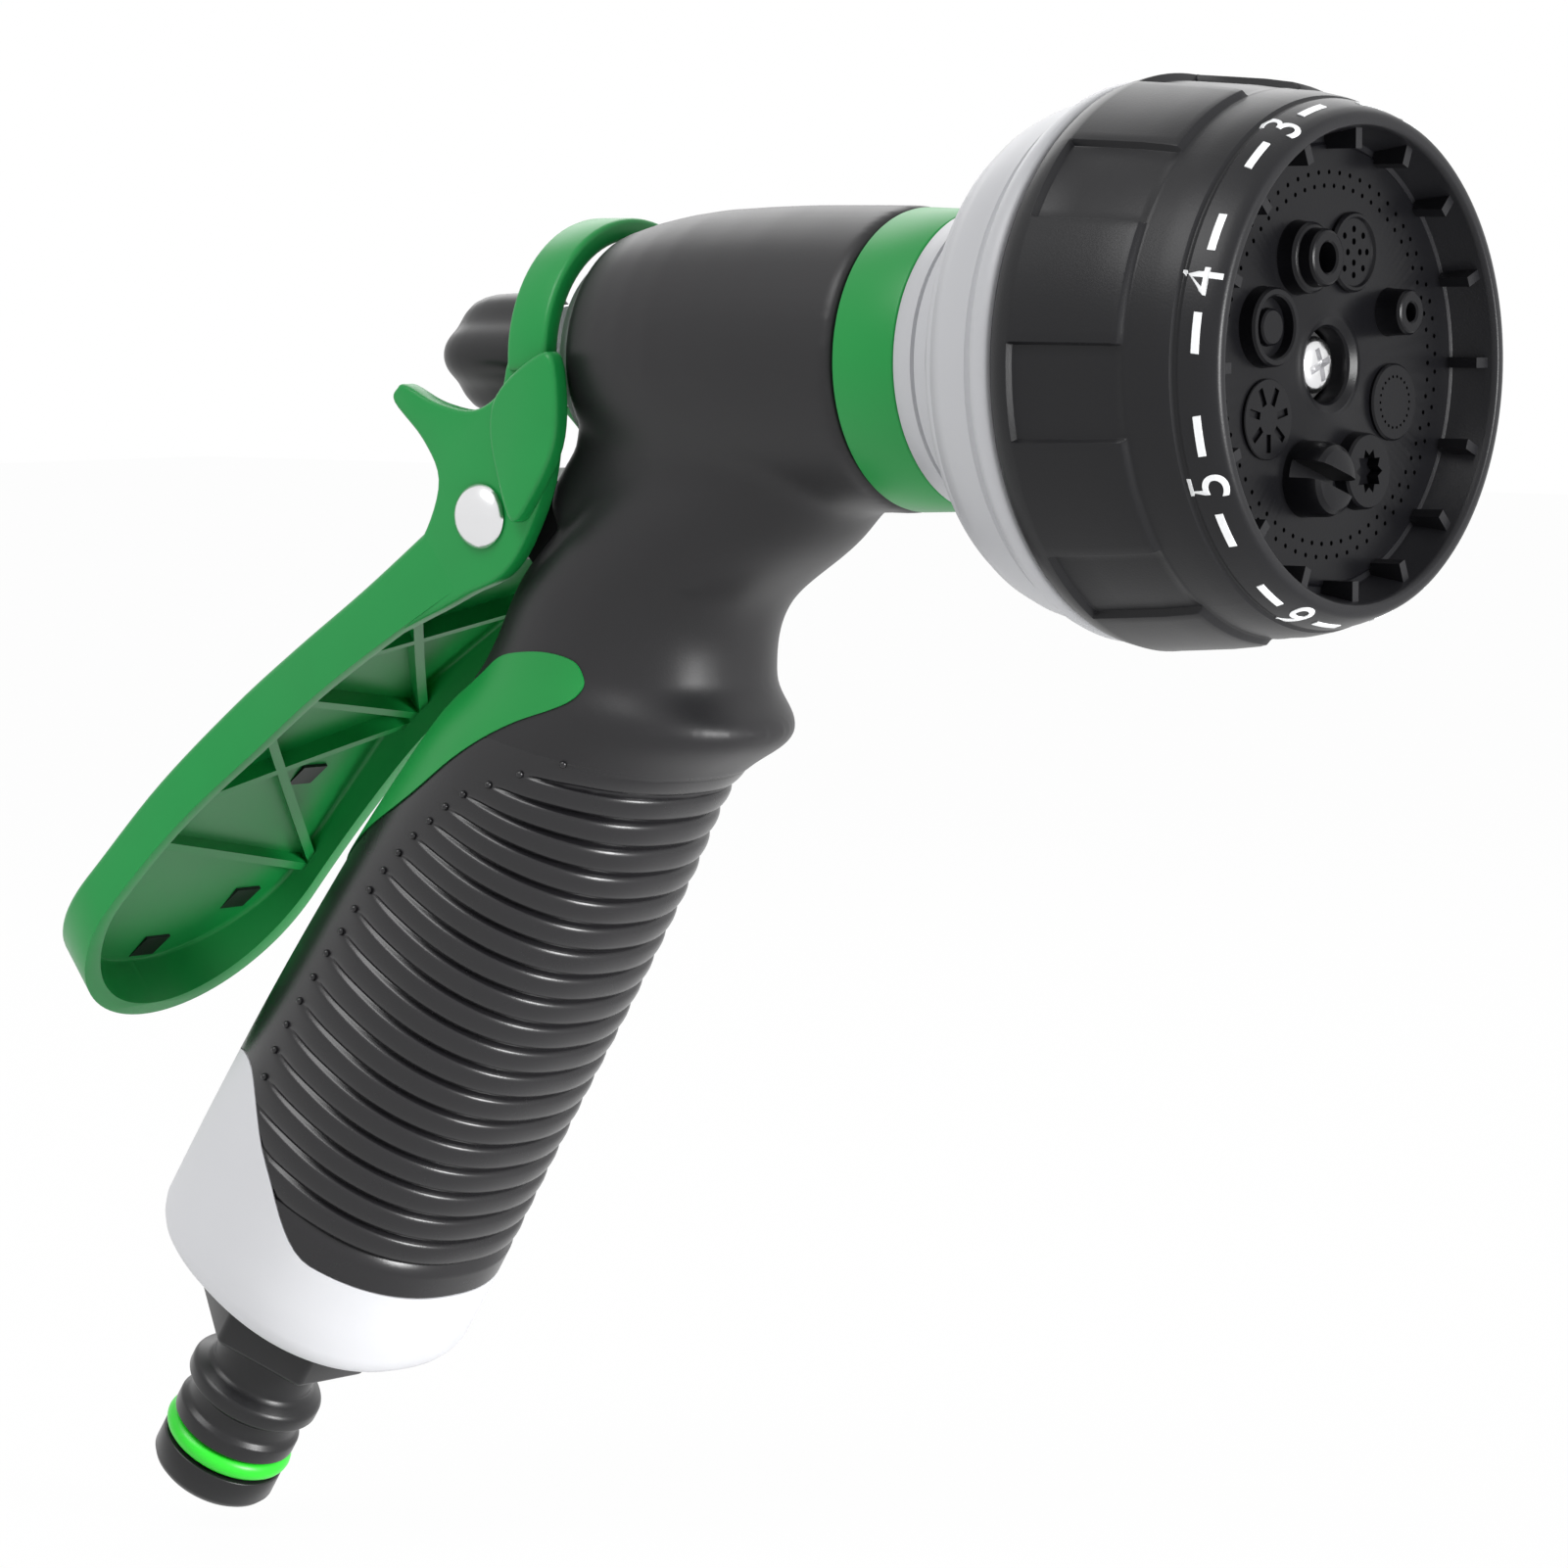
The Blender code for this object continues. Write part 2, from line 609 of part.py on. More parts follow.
def make_connector(handle, skin, bright, rubber):
    """Make the quick-connect nipple with its O-ring and the inlet washer."""
    groove = ORING_RADIUS - 2.0 * ORING_WIRE - CLEAR
    low = ORING_STATION - ORING_WIRE - CLEAR
    high = ORING_STATION + ORING_WIRE + CLEAR
    hex_top = COLLAR_BOTTOM - CLEAR
    spigot_top = SOCKET_TOP - WASHER_THICKNESS - 2.0 * CLEAR
    nipple = turned("hose_connector", [
        (0.0, CONNECTOR_BORE), (0.0, NIPPLE_RADIUS - 0.0012), (0.0012, NIPPLE_RADIUS), (low, NIPPLE_RADIUS),
        (low, groove), (high, groove), (high, NIPPLE_RADIUS), (high + 0.0022, NIPPLE_RADIUS),
        (high + 0.0026, NECK_WAIST + 0.0006), (high + 0.0050, NECK_WAIST + 0.0006),
        (high + 0.0058, RIDGE_RADIUS), (high + 0.0078, RIDGE_RADIUS), (high + 0.0090, NECK_WAIST),
        (HEX_BOTTOM - 0.0010, NECK_WAIST), (HEX_BOTTOM, SPIGOT_RADIUS), (spigot_top, SPIGOT_RADIUS),
        (spigot_top, CONNECTOR_BORE)], handle, skin, MEDIUM)
    hexagon = [circle(radius, along, 6) for along, radius in
               ((HEX_BOTTOM, HEX_RADIUS - 0.0010), (HEX_BOTTOM + 0.0010, HEX_RADIUS), (hex_top, HEX_RADIUS))]
    nut = loft("connector_hexagon", hexagon, handle)
    inside = 0.5 * (SPIGOT_RADIUS + CONNECTOR_BORE)
    nut_bore = rod(HEX_BOTTOM - OVERCUT, hex_top + OVERCUT, inside)
    cut(nut, turned("hexagon_bore", nut_bore, handle, steps=COARSE))
    join(nipple, nut)
    o_ring = round_ring(ORING_STATION, ORING_RADIUS - ORING_WIRE, ORING_WIRE)
    turned("connector_o_ring", o_ring, handle, bright, MEDIUM)
    washer = ring(spigot_top + CLEAR, SOCKET_TOP - CLEAR, CONNECTOR_BORE, SPIGOT_RADIUS - CLEAR)
    turned("inlet_washer", washer, handle, rubber, MEDIUM)


def make_flange(barrel, grey, rubber, steel):
    """Make the grey front flange, its seal, the port seal and the click plunger with their springs."""
    tail = NECK_FRONT + CLEAR
    neck = CORE_RADIUS + CLEAR
    shoulder = CORE_FRONT + 0.0020
    wall = FLANGE_FACE - FLANGE_WALL
    hub = CHANNEL_REAR - CLEAR
    post = RECESS_FLOOR - PLATE_THICKNESS - CLEAR
    hole = SCREW_SHANK + CLEAR
    spigot = SKIRT_BORE - 0.0005
    dish = FLANGE_RIM - 0.0014
    flange = turned("front_flange", [
        (tail, neck), (tail, NECK_RADIUS - 0.0003), (tail + 0.0030, NECK_RADIUS - 0.0003),
        (tail + 0.0036, NECK_RADIUS + 0.0012), (tail + 0.0056, NECK_RADIUS + 0.0017), (-0.0105, dish - 0.0018),
        (-0.0090, dish - 0.0009), (-0.0042, dish), (-0.0040, dish - 0.0008), (-0.0031, dish - 0.0008),
        (-0.0028, FLANGE_RIM - 0.0002), (-0.0010, FLANGE_RIM), (-CLEAR, FLANGE_RIM - 0.0004),
        (-CLEAR, spigot), (FLANGE_FACE, spigot), (FLANGE_FACE, HUB_RADIUS), (hub, HUB_RADIUS),
        (hub, POST_RADIUS), (post, POST_RADIUS), (post, hole), (FLANGE_FACE + 0.0010, hole),
        (FLANGE_FACE + 0.0010, 0.0), (wall, 0.0), (wall, FLANGE_ROOM), (-0.0090, FLANGE_ROOM),
        (shoulder, CORE_BORE), (shoulder, neck)], barrel, grey)
    up = around(OUTLET_CIRCLE, FIRST_ANGLE + math.tau * 2.0 / POSITIONS)
    down = around(CLICK_CIRCLE, -0.5 * math.pi)
    pocket = wall + 0.0015
    boss_top = CHANNEL_REAR - 0.0015
    click_top = CHANNEL_REAR - 0.0024
    join(flange, rods("flange_bosses", [(wall + 0.0010, boss_top, PORT_BOSS, up),
                                        (wall + 0.0010, click_top, CLICK_BOSS, down)], barrel))
    port_pocket = PORT_SEAL_RADIUS + CLEAR
    port_bore = [(wall - OVERCUT, 0.0), (wall - OVERCUT, PORT_HOLE), (pocket, PORT_HOLE), (pocket, port_pocket),
                 (boss_top + OVERCUT, port_pocket), (boss_top + OVERCUT, 0.0)]
    click_bore = rod(pocket, click_top + OVERCUT, CLICK_RADIUS + CLEAR)
    cut(flange, turned("port_bore", port_bore, barrel, steps=MEDIUM, at=up),
        turned("click_bore", click_bore, barrel, steps=MEDIUM, at=down))
    seal = ring(CORE_FRONT + CLEAR, shoulder - CLEAR, CORE_BORE + CLEAR, CORE_RADIUS)
    turned("flange_seal", seal, barrel, rubber, MEDIUM)
    seal_low = pocket + 0.0038
    tip = CHANNEL_REAR - CLEAR
    turned("port_seal", ring(seal_low, tip, PORT_HOLE, PORT_SEAL_RADIUS), barrel, rubber, COARSE, up)
    spring("port_seal_spring", PORT_SEAL_RADIUS - 0.0009, PORT_SPRING_WIRE, pocket + CLEAR,
           seal_low - CLEAR, 2.5, barrel, steel, up)
    foot = tip - CLICK_LENGTH
    plunger = [(foot, 0.0), (foot, CLICK_RADIUS)] + [
        (tip - CLICK_RADIUS + CLICK_RADIUS * math.sin(a), CLICK_RADIUS * math.cos(a))
        for a in (math.radians(18.0 * i) for i in range(5))] + [(tip, 0.0)]
    turned("click_plunger", plunger, barrel, steel, COARSE, down)
    spring("click_spring", CLICK_RADIUS - 0.0005, CLICK_SPRING_WIRE, pocket + CLEAR, foot - CLEAR, 3.5, barrel,
           steel, down)


def make_dial(barrel, black, steel):
    """Make the turning dial: grip ring, spray plate, channel plate, screw and washer."""
    seat = RECESS_FLOOR + CLEAR
    bore = PLATE_RADIUS + CLEAR
    lip = CHANNEL_REAR - CLEAR
    dial = turned("dial_ring", [
        (0.0, SKIRT_BORE), (0.0, DIAL_RADIUS - 0.0012), (0.0008, DIAL_RADIUS - 0.0002), (0.0030, DIAL_RADIUS),
        (BEZEL_START - 0.0007, DIAL_RADIUS - 0.0010), (BEZEL_START, BEZEL_RADIUS + 0.0002),
        (BEZEL_START + 0.0055, BEZEL_RADIUS - 0.0005), (BEZEL_START + 0.0059, BEZEL_RADIUS - 0.0010),
        (DIAL_LENGTH - 0.0004, RIM_RADIUS + 0.0004), (DIAL_LENGTH, RIM_RADIUS),
        (DIAL_LENGTH, RECESS_RADIUS + 0.0008), (DIAL_LENGTH - 0.0006, RECESS_RADIUS), (seat, RECESS_RADIUS),
        (seat, bore), (lip, bore), (lip, PLATE_RADIUS - LIP_WIDTH), (SKIRT_DEPTH, PLATE_RADIUS - LIP_WIDTH),
        (SKIRT_DEPTH, SKIRT_BORE)], barrel, black)
    pads = bmesh.new()
    for i in range(DIAL_PADS):
        turn = PAD_TURN + math.tau * i / DIAL_PADS
        box = bmesh.ops.create_cube(pads, size=1.0)["verts"]
        bmesh.ops.scale(pads, verts=box, vec=PAD_BOX)
        bmesh.ops.translate(pads, verts=box, vec=(DIAL_RADIUS + 0.5 * PAD_BOX[0] - PAD_DEPTH, 0.0, PAD_MIDDLE))
        bmesh.ops.rotate(pads, verts=box, cent=(0.0, 0.0, 0.0), matrix=Matrix.Rotation(turn, 3, "Z"))
    cut(dial, add_mesh("dial_pad_cutters", pads, barrel, None))
    spray_low = RECESS_FLOOR - PLATE_THICKNESS
    plate = turned("spray_plate", ring(spray_low, RECESS_FLOOR, CENTRE_HOLE, PLATE_RADIUS), barrel, black)
    channel_high = spray_low - CLEAR
    channel_shape = ring(CHANNEL_REAR, channel_high, POST_RADIUS + CLEAR, PLATE_RADIUS)
    channel = turned("channel_plate", channel_shape, barrel, black)
    bosses = []
    holes = []
    channels = []
    for i, (outside, height, hole) in enumerate(OUTLETS):
        turn = math.tau * i / POSITIONS
        place = around(OUTLET_CIRCLE, FIRST_ANGLE + turn)
        bosses.append((spray_low + 0.0010, RECESS_FLOOR + height, outside, place))
        holes.append((spray_low - OVERCUT, RECESS_FLOOR + height + OVERCUT, hole, place))
        channels.append((CHANNEL_REAR - OVERCUT, channel_high + OVERCUT, PORT_HOLE, place))
        channels.append((CHANNEL_REAR - OVERCUT, CHANNEL_REAR + DETENT_DEPTH, DETENT_RADIUS,
                         around(CLICK_CIRCLE, -0.5 * math.pi + turn)))
    join(plate, rods("outlet_bosses", bosses, barrel))
    cut(plate, rods("outlet_holes", holes, barrel))
    cut(channel, rods("channel_holes", channels, barrel))
    washer_low = channel_high + CLEAR
    washer_high = washer_low + DIAL_WASHER
    washer = ring(washer_low, washer_high, SCREW_SHANK + CLEAR, CENTRE_HOLE - CLEAR)
    turned("dial_washer", washer, barrel, steel, MEDIUM)
    head = washer_high + CLEAR
    top = head + SCREW_DOME
    screw = turned("dial_screw", [(FLANGE_FACE + 0.0020, 0.0), (FLANGE_FACE + 0.0026, SCREW_SHANK),
                                  (head, SCREW_SHANK), (head, SCREW_HEAD), (top - 0.0008, SCREW_HEAD),
                                  (top - 0.0002, 0.7 * SCREW_HEAD), (top, 0.0)], barrel, steel, MEDIUM)
    for name, turn in (("screw_slot", 0.0), ("screw_cross_slot", 0.5 * math.pi)):
        slot = bmesh.new()
        bmesh.ops.create_cube(slot, size=1.0)
        bmesh.ops.scale(slot, verts=slot.verts, vec=SCREW_SLOT)
        bmesh.ops.rotate(slot, verts=slot.verts, cent=(0.0, 0.0, 0.0), matrix=Matrix.Rotation(turn, 3, "Z"))
        bmesh.ops.translate(slot, verts=slot.verts, vec=(0.0, 0.0, top))
        cut(screw, add_mesh(name, slot, barrel, None))


def make_valve(barrel, grey, black, rubber, steel):
    """Make the rear gland, stem, stem seals, poppet, poppet seal and return spring."""
    pocket_end = GLAND_REAR + 0.0040
    stem_hole = STEM_RADIUS + CLEAR
    plug = CORE_BORE - CLEAR
    seat = GRIP_REAR - CLEAR
    turned("rear_gland", [(GLAND_REAR, stem_hole), (GLAND_REAR, GLAND_FLANGE - 0.0006),
                          (GLAND_REAR + 0.0006, GLAND_FLANGE), (seat, GLAND_FLANGE), (seat, plug),
                          (GLAND_FRONT, plug), (GLAND_FRONT, STEM_SEAL_POCKET),
                          (pocket_end, STEM_SEAL_POCKET), (pocket_end, stem_hole)], barrel, grey)
    middle = stem_hole + STEM_SEAL_WIRE
    first = pocket_end + STEM_SEAL_WIRE + CLEAR
    for i, name in enumerate(("stem_seal_rear", "stem_seal_front")):
        centre = first + i * (2.0 * STEM_SEAL_WIRE + CLEAR)
        turned(name, round_ring(centre, middle, STEM_SEAL_WIRE, 8), barrel, rubber, COARSE)
    keeper_low = first + 3.0 * STEM_SEAL_WIRE + 2.0 * CLEAR
    keeper = ring(keeper_low, GLAND_FRONT - CLEAR, stem_hole, STEM_SEAL_POCKET - CLEAR)
    turned("seal_retainer", keeper, barrel, steel, COARSE)
    front = SEAT_REAR - SEAL_THICKNESS - 2.0 * CLEAR
    rear = front - POPPET_LENGTH
    stem_front = front - 0.0010
    stem_rear = KNOB_FRONT - KNOB_LENGTH + 0.0025
    turned("valve_stem", rod(stem_rear, stem_front, STEM_RADIUS), barrel, steel, COARSE)
    disc = front - POPPET_DISC
    turned("valve_poppet", [(rear, stem_hole), (rear, POPPET_HUB), (disc, POPPET_HUB),
                            (disc + CLEAR, POPPET_RADIUS), (front, POPPET_RADIUS), (front, 0.0),
                            (stem_front + CLEAR, 0.0), (stem_front + CLEAR, stem_hole)], barrel, black, MEDIUM)
    turned("poppet_seal", rod(front + CLEAR, SEAT_REAR - CLEAR, POPPET_RADIUS - CLEAR), barrel, rubber, MEDIUM)
    spring("return_spring", SPRING_RADIUS, SPRING_WIRE, GLAND_FRONT + CLEAR, disc - CLEAR, SPRING_TURNS, barrel,
           steel)


def make_knob(barrel, black, steel):
    """Make the flow knob on the stem's thread and its thrust washer."""
    bore = STEM_RADIUS + CLEAR
    rear = KNOB_FRONT - KNOB_LENGTH
    shape = ((KNOB_FRONT, 0.92), (KNOB_FRONT - 0.0010, 1.0), (rear + 0.0040, 0.98), (rear + 0.0012, 0.86),
             (rear, 0.62))
    rings = [circle(bore, rear + 0.0022, MEDIUM), circle(bore, KNOB_FRONT, MEDIUM)]
    for along, share in shape:
        points = circle(1.0, along, MEDIUM)
        for i, point in enumerate(points):
            lobe = KNOB_LOBE_DEPTH * math.cos(KNOB_LOBES * math.tau * i / MEDIUM)
            radius = (KNOB_RADIUS - KNOB_LOBE_DEPTH + lobe) * share
            point.x *= radius
            point.y *= radius
        rings.append(points)
    loft("flow_knob", rings, barrel, black)
    high = KNOB_FRONT + CLEAR + THRUST_THICKNESS
    turned("thrust_washer", ring(KNOB_FRONT + CLEAR, high, bore, THRUST_RADIUS), barrel, steel, MEDIUM)


def lever_form(along, column):
    """Return one column of the lever's form at a distance from the pivot."""
    share = along / LEVER_LENGTH
    for low, high in zip(LEVER_FORM, LEVER_FORM[1:]):
        if share <= high[0]:
            step = max((share - low[0]) / (high[0] - low[0]), 0.0)
            return low[column] + (high[column] - low[column]) * step
    return LEVER_FORM[-1][column]


def lever_half_width(along, length, inset):
    """Return half the lever's width at a distance from the pivot."""
    half = 0.5 * LEVER_WIDTH * lever_form(along, 1) - inset
    round_from = length - LEVER_END_ROUND
    if along > round_from:
        half *= math.sqrt(max(1.0 - ((along - round_from) / (length - round_from)) ** 2, 0.0))
    return half


def lever_rim(along):
    """Return where the lever's open rim lies, on the handle's side, at a distance from the pivot."""
    return lever_form(along, 2)


def lever_palm(along):
    """Return where the lever's palm side lies at a distance from the pivot."""
    return lever_form(along, 3)


def lever_rings(stations, length, inset, low, high):
    """Return box-shaped rings along the lever between two depth functions."""
    rings = []
    for along in stations:
        half = max(lever_half_width(along, length, inset), 0.0012)
        rings.append([Vector((depth, side * half, along)) for side, depth in
                      ((-1, low(along)), (1, low(along)), (1, high(along)), (-1, high(along)))])
    return rings


def make_trigger(pivot, lever, barrel, cross, green, black, steel):
    """Make the trigger lever with its hoop and prongs, its soft pad and the pivot rivet."""
    ends = tuple(LEVER_LENGTH - before for before in LEVER_END_STEPS)
    middles = tuple(share * LEVER_LENGTH for share in LEVER_SHARES)
    stations = (LEVER_START,) + middles + ends
    outer = lever_rings(stations + (LEVER_LENGTH,), LEVER_LENGTH, 0.0, lever_rim, lever_palm)
    trigger = loft("trigger", outer, lever, green)
    short = LEVER_LENGTH - LEVER_WALL
    inner = lever_rings((0.0030,) + stations[:-1] + (short,), short, LEVER_WALL,
                        lambda along: lever_rim(along) - LEVER_WIDTH, lambda along: lever_palm(along) - LEVER_FLOOR)
    cut(trigger, loft("trigger_channel", inner, lever))
    cheek_in = CHEEK_INSIDE
    cheek_out = CHEEK_INSIDE + CHEEK_WALL
    hoop_front = HOOP_REAR + HOOP_WIDTH
    cheek = ((-0.0118, -0.0050), (-0.0086, -0.0015), (-0.0066, 0.0040), (-0.0092, 0.0085), (-0.0136, 0.0127),
             (-0.0120, 0.0148), (-0.0072, 0.0128), (-0.0014, 0.0120), (0.0028, 0.0140), (HOOP_REAR, PIVOT_DROP),
             (hoop_front, PIVOT_DROP), (hoop_front - 0.0003, 0.0060), (0.0068, -0.0020), (0.0030, -0.0066),
             (-0.0070, -0.0120))
    boss = ((0.0062, -0.0004), (0.0090, 0.0020), (0.0126, 0.0080), (0.0132, 0.0140), (0.0120, 0.0186),
            (0.0080, 0.0172), (0.0040, 0.0138), (0.0030, 0.0100), (0.0040, 0.0050))
    prong_at = (PIVOT_BACK + KNOB_FRONT + 2.0 * CLEAR + THRUST_THICKNESS + PRONG_RADIUS, PIVOT_DROP)
    for side in (-1, 1):
        low, high = sorted((side * cheek_in, side * cheek_out))
        join(trigger, prism(f"trigger_cheek_{side}", cheek, low, high, pivot))
        low, high = sorted((side * (cheek_out - BOSS_ROOT), side * (cheek_out + BOSS_HEIGHT)))
        join(trigger, prism(f"trigger_boss_{side}", boss, low, high, pivot))
        low, high = sorted((side * (STEM_RADIUS + 0.0006), side * (cheek_in + 0.0010)))
        join(trigger, across_bar(f"trigger_prong_{side}", PRONG_RADIUS, high, pivot, None, prong_at, low))
    hoop = []
    rear = HOOP_REAR - PIVOT_BACK
    for i in range(25):
        angle = math.radians(-6.0 + 192.0 * i / 24)
        hoop.append([Vector((*around(radius, angle), along)) for along, radius in
                     ((rear, HOOP_INSIDE), (rear, HOOP_INSIDE + HOOP_THICKNESS),
                      (rear + HOOP_WIDTH, HOOP_INSIDE + HOOP_THICKNESS), (rear + HOOP_WIDTH, HOOP_INSIDE))])
    join(trigger, loft("trigger_hoop", hoop, barrel))
    for i, (start, first, end, second) in enumerate(CHANNEL_RIBS):
        ends_at = (start * LEVER_LENGTH, end * LEVER_LENGTH)
        join(trigger, channel_bar(f"trigger_rib_{i}", ends_at[0], first, ends_at[1], second, lever))
    cut(trigger, across_bar("trigger_pin_hole", RIVET_RADIUS + CLEAR, cheek_out + OVERCUT, pivot))
    pad_stations = tuple(along for along in stations if 2.0 * LEVER_START < along < LEVER_LENGTH - 0.0025)
    pad = loft("trigger_pad", lever_rings(pad_stations, LEVER_LENGTH, 0.0016,
                                          lambda along: lever_palm(along) + CLEAR,
                                          lambda along: lever_palm(along) + CLEAR + PAD_THICKNESS), lever, black)
    for i, (share, aside) in enumerate(ANCHORS):
        along = share * LEVER_LENGTH
        palm = lever_palm(along)
        for body, grow, top, work in ((trigger, CLEAR, OVERCUT, cut), (pad, 0.0, 0.0001, join)):
            half = ANCHOR_HALF + grow
            corners = ((-half, -half), (half, -half), (half, half), (-half, half))
            box = [[Vector((depth, aside + across, along + up)) for across, up in corners]
                   for depth in (palm - LEVER_FLOOR - top, palm + CLEAR + 0.5 * PAD_THICKNESS)]
            work(body, loft(f"{body.name}_anchor_{i}", box, lever))
    face = cheek_out + CLEAR
    rings = [(face, RIVET_RADIUS), (face, RIVET_HEAD), (face + 0.4 * RIVET_DOME, 0.94 * RIVET_HEAD),
             (face + 0.8 * RIVET_DOME, 0.66 * RIVET_HEAD), (face + RIVET_DOME, 0.0)]
    rivet = [(-along, radius) for along, radius in reversed(rings)] + rings
    turned("pivot_rivet", rivet, cross, steel, COARSE)


def channel_rib_top(along):
    """Return how far towards the handle the channel's ribs reach at a distance from the pivot."""
    return lever_rim(along) + CHANNEL_RIB_SINK * (lever_palm(along) - lever_rim(along))


def channel_bar(name, start, first, end, second, lever):
    """Make one slanting rib of the lever's channel."""
    corners = []
    for along, side in ((start, first), (end, second)):
        reach = lever_half_width(along, LEVER_LENGTH, 0.5 * LEVER_WALL)
        corners.append(Vector((side * reach, along)))
    way = (corners[1] - corners[0]).normalized()
    across = Vector((-way.y, way.x)) * CHANNEL_RIB_HALF
    base = [corners[0] + across, corners[1] + across, corners[1] - across, corners[0] - across]
    rings = []
    for high in (False, True):
        rings.append([Vector((lever_palm(z) - 0.4 * LEVER_FLOOR if high else channel_rib_top(z), y, z))
                      for y, z in base])
    return loft(name, rings, lever)


clear_scene()
barrel_frame = axis_frame("barrel_axis", (BARREL_X, 0.0, BARREL_Z), 0.5 * math.pi)
handle_frame = axis_frame("handle_axis", (0.0, 0.0, 0.0), HANDLE_LEAN)
pivot_place = (BARREL_X - PIVOT_BACK, 0.0, BARREL_Z - PIVOT_DROP)
pivot_frame = axis_frame("trigger_pivot", pivot_place, 0.0)
lever_frame = axis_frame("lever_axis", pivot_place, -0.5 * math.pi - LEVER_SLOPE)
cross_frame = axis_frame("rivet_axis", pivot_place, 0.0)
cross_frame.rotation_euler = (-0.5 * math.pi, 0.0, 0.0)
body_frames = (barrel_frame, handle_frame, pivot_frame)

black_plastic = finish("black_plastic", (0.030, 0.029, 0.032), 0.42)
black_rubber = finish("black_soft_rubber", (0.036, 0.035, 0.037), 0.68)
seal_rubber = finish("seal_rubber", (0.020, 0.020, 0.022), 0.60)
green_plastic = finish("green_plastic", (0.027, 0.352, 0.080), 0.38)
bright_rubber = finish("bright_green_rubber", (0.021, 0.716, 0.021), 0.35)
grey_plastic = finish("light_grey_plastic", (0.610, 0.620, 0.650), 0.40)
bright_steel = finish("bright_steel", (0.780, 0.780, 0.790), 0.25, 1.0)

make_core(body_frames, black_plastic)
make_grip(body_frames, black_rubber)
make_trim(body_frames, green_plastic, grey_plastic)
make_connector(handle_frame, black_plastic, bright_rubber, seal_rubber)
make_flange(barrel_frame, grey_plastic, seal_rubber, bright_steel)
make_dial(barrel_frame, black_plastic, bright_steel)
make_valve(barrel_frame, grey_plastic, black_plastic, seal_rubber, bright_steel)
make_knob(barrel_frame, black_plastic, bright_steel)
make_trigger(pivot_frame, lever_frame, barrel_frame, cross_frame, green_plastic, black_rubber, bright_steel)
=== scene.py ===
"""Looks of a garden hose spray nozzle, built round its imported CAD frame.

Metres, +X the spray direction, +Z up, Y across. Each class holds one sub-assembly: its
sizes, the methods that model its pieces, and the finishes that dress them.
"""

import logging
import math
from dataclasses import dataclass, replace
from enum import Enum
from typing import Callable, Iterable, Optional, Sequence

import bmesh
import bpy
from mathutils import Matrix, Vector


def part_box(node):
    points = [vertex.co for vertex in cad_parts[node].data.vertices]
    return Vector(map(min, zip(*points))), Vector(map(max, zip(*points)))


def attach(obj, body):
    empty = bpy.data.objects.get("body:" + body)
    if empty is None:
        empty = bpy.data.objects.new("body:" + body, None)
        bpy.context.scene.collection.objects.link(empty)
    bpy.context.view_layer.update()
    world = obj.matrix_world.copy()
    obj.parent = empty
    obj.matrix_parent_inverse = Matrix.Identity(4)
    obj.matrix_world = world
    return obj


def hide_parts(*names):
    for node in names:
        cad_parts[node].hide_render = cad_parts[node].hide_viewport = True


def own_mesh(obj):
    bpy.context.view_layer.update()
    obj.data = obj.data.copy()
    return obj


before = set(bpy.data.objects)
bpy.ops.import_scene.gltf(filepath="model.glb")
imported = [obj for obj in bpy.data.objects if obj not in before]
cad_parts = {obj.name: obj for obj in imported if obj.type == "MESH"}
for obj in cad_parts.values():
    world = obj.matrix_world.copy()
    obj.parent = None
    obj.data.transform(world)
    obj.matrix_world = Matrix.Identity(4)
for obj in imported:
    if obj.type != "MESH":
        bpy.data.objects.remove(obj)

log = logging.getLogger("nozzle")

Profile = Sequence[tuple[float, float]]
Ring = list[Vector]

BARREL_ORIGIN = Vector((0.1435, 0.0, 0.1374))
PIVOT_ORIGIN = Vector((0.0595, 0.0, 0.1194))
HANDLE_LEAN = math.radians(33.5)
LEVER_SLOPE = math.radians(37.25)
BARREL = Matrix.Translation(BARREL_ORIGIN) @ Matrix.Rotation(0.5 * math.pi, 4, "Y")
HANDLE = Matrix.Rotation(HANDLE_LEAN, 4, "Y")
PIVOT = Matrix.Translation(PIVOT_ORIGIN)
LEVER = PIVOT @ Matrix.Rotation(-0.5 * math.pi - LEVER_SLOPE, 4, "Y")
RIVET = PIVOT @ Matrix.Rotation(-0.5 * math.pi, 4, "X")


class Body(Enum):
    """Moving bodies of the frame that pieces ride on."""

    BODY = "body"
    TRIGGER = "trigger"
    KNOB = "knob"
    DIAL = "dial"


class Slot(Enum):
    """Material slots of the record."""

    BLACK = "black_plastic"
    SOFT_BLACK = "black_soft_rubber"
    GREEN = "green_plastic"
    BRIGHT_GREEN = "bright_green_rubber"
    GREY = "light_grey_plastic"
    STEEL = "bright_steel"


def smooth(low: float, high: float, value: float) -> float:
    """Ease from 0 to 1 between two values.

    Args:
        low: Value where the step starts.
        high: Value where the step ends.
        value: Value to look up.

    Returns:
        A share from 0 to 1.
    """
    share = min(max((value - low) / (high - low), 0.0), 1.0)
    return share * share * (3.0 - 2.0 * share)


def table(points: Profile, value: float) -> float:
    """Read a straight-line table.

    Args:
        points: Rows of (value, result) in rising order.
        value: Value to look up.

    Returns:
        The result between the two nearest rows.
    """
    for (x0, y0), (x1, y1) in zip(points, points[1:]):
        if value <= x1:
            return y0 + (y1 - y0) * max((value - x0) / (x1 - x0), 0.0)
    return points[-1][1]


def around(radius: float, angle: float, along: float) -> Vector:
    """Return a point of the barrel frame; angle runs from across (+Y) towards up (+Z)."""
    return Vector((-radius * math.sin(angle), radius * math.cos(angle), along))


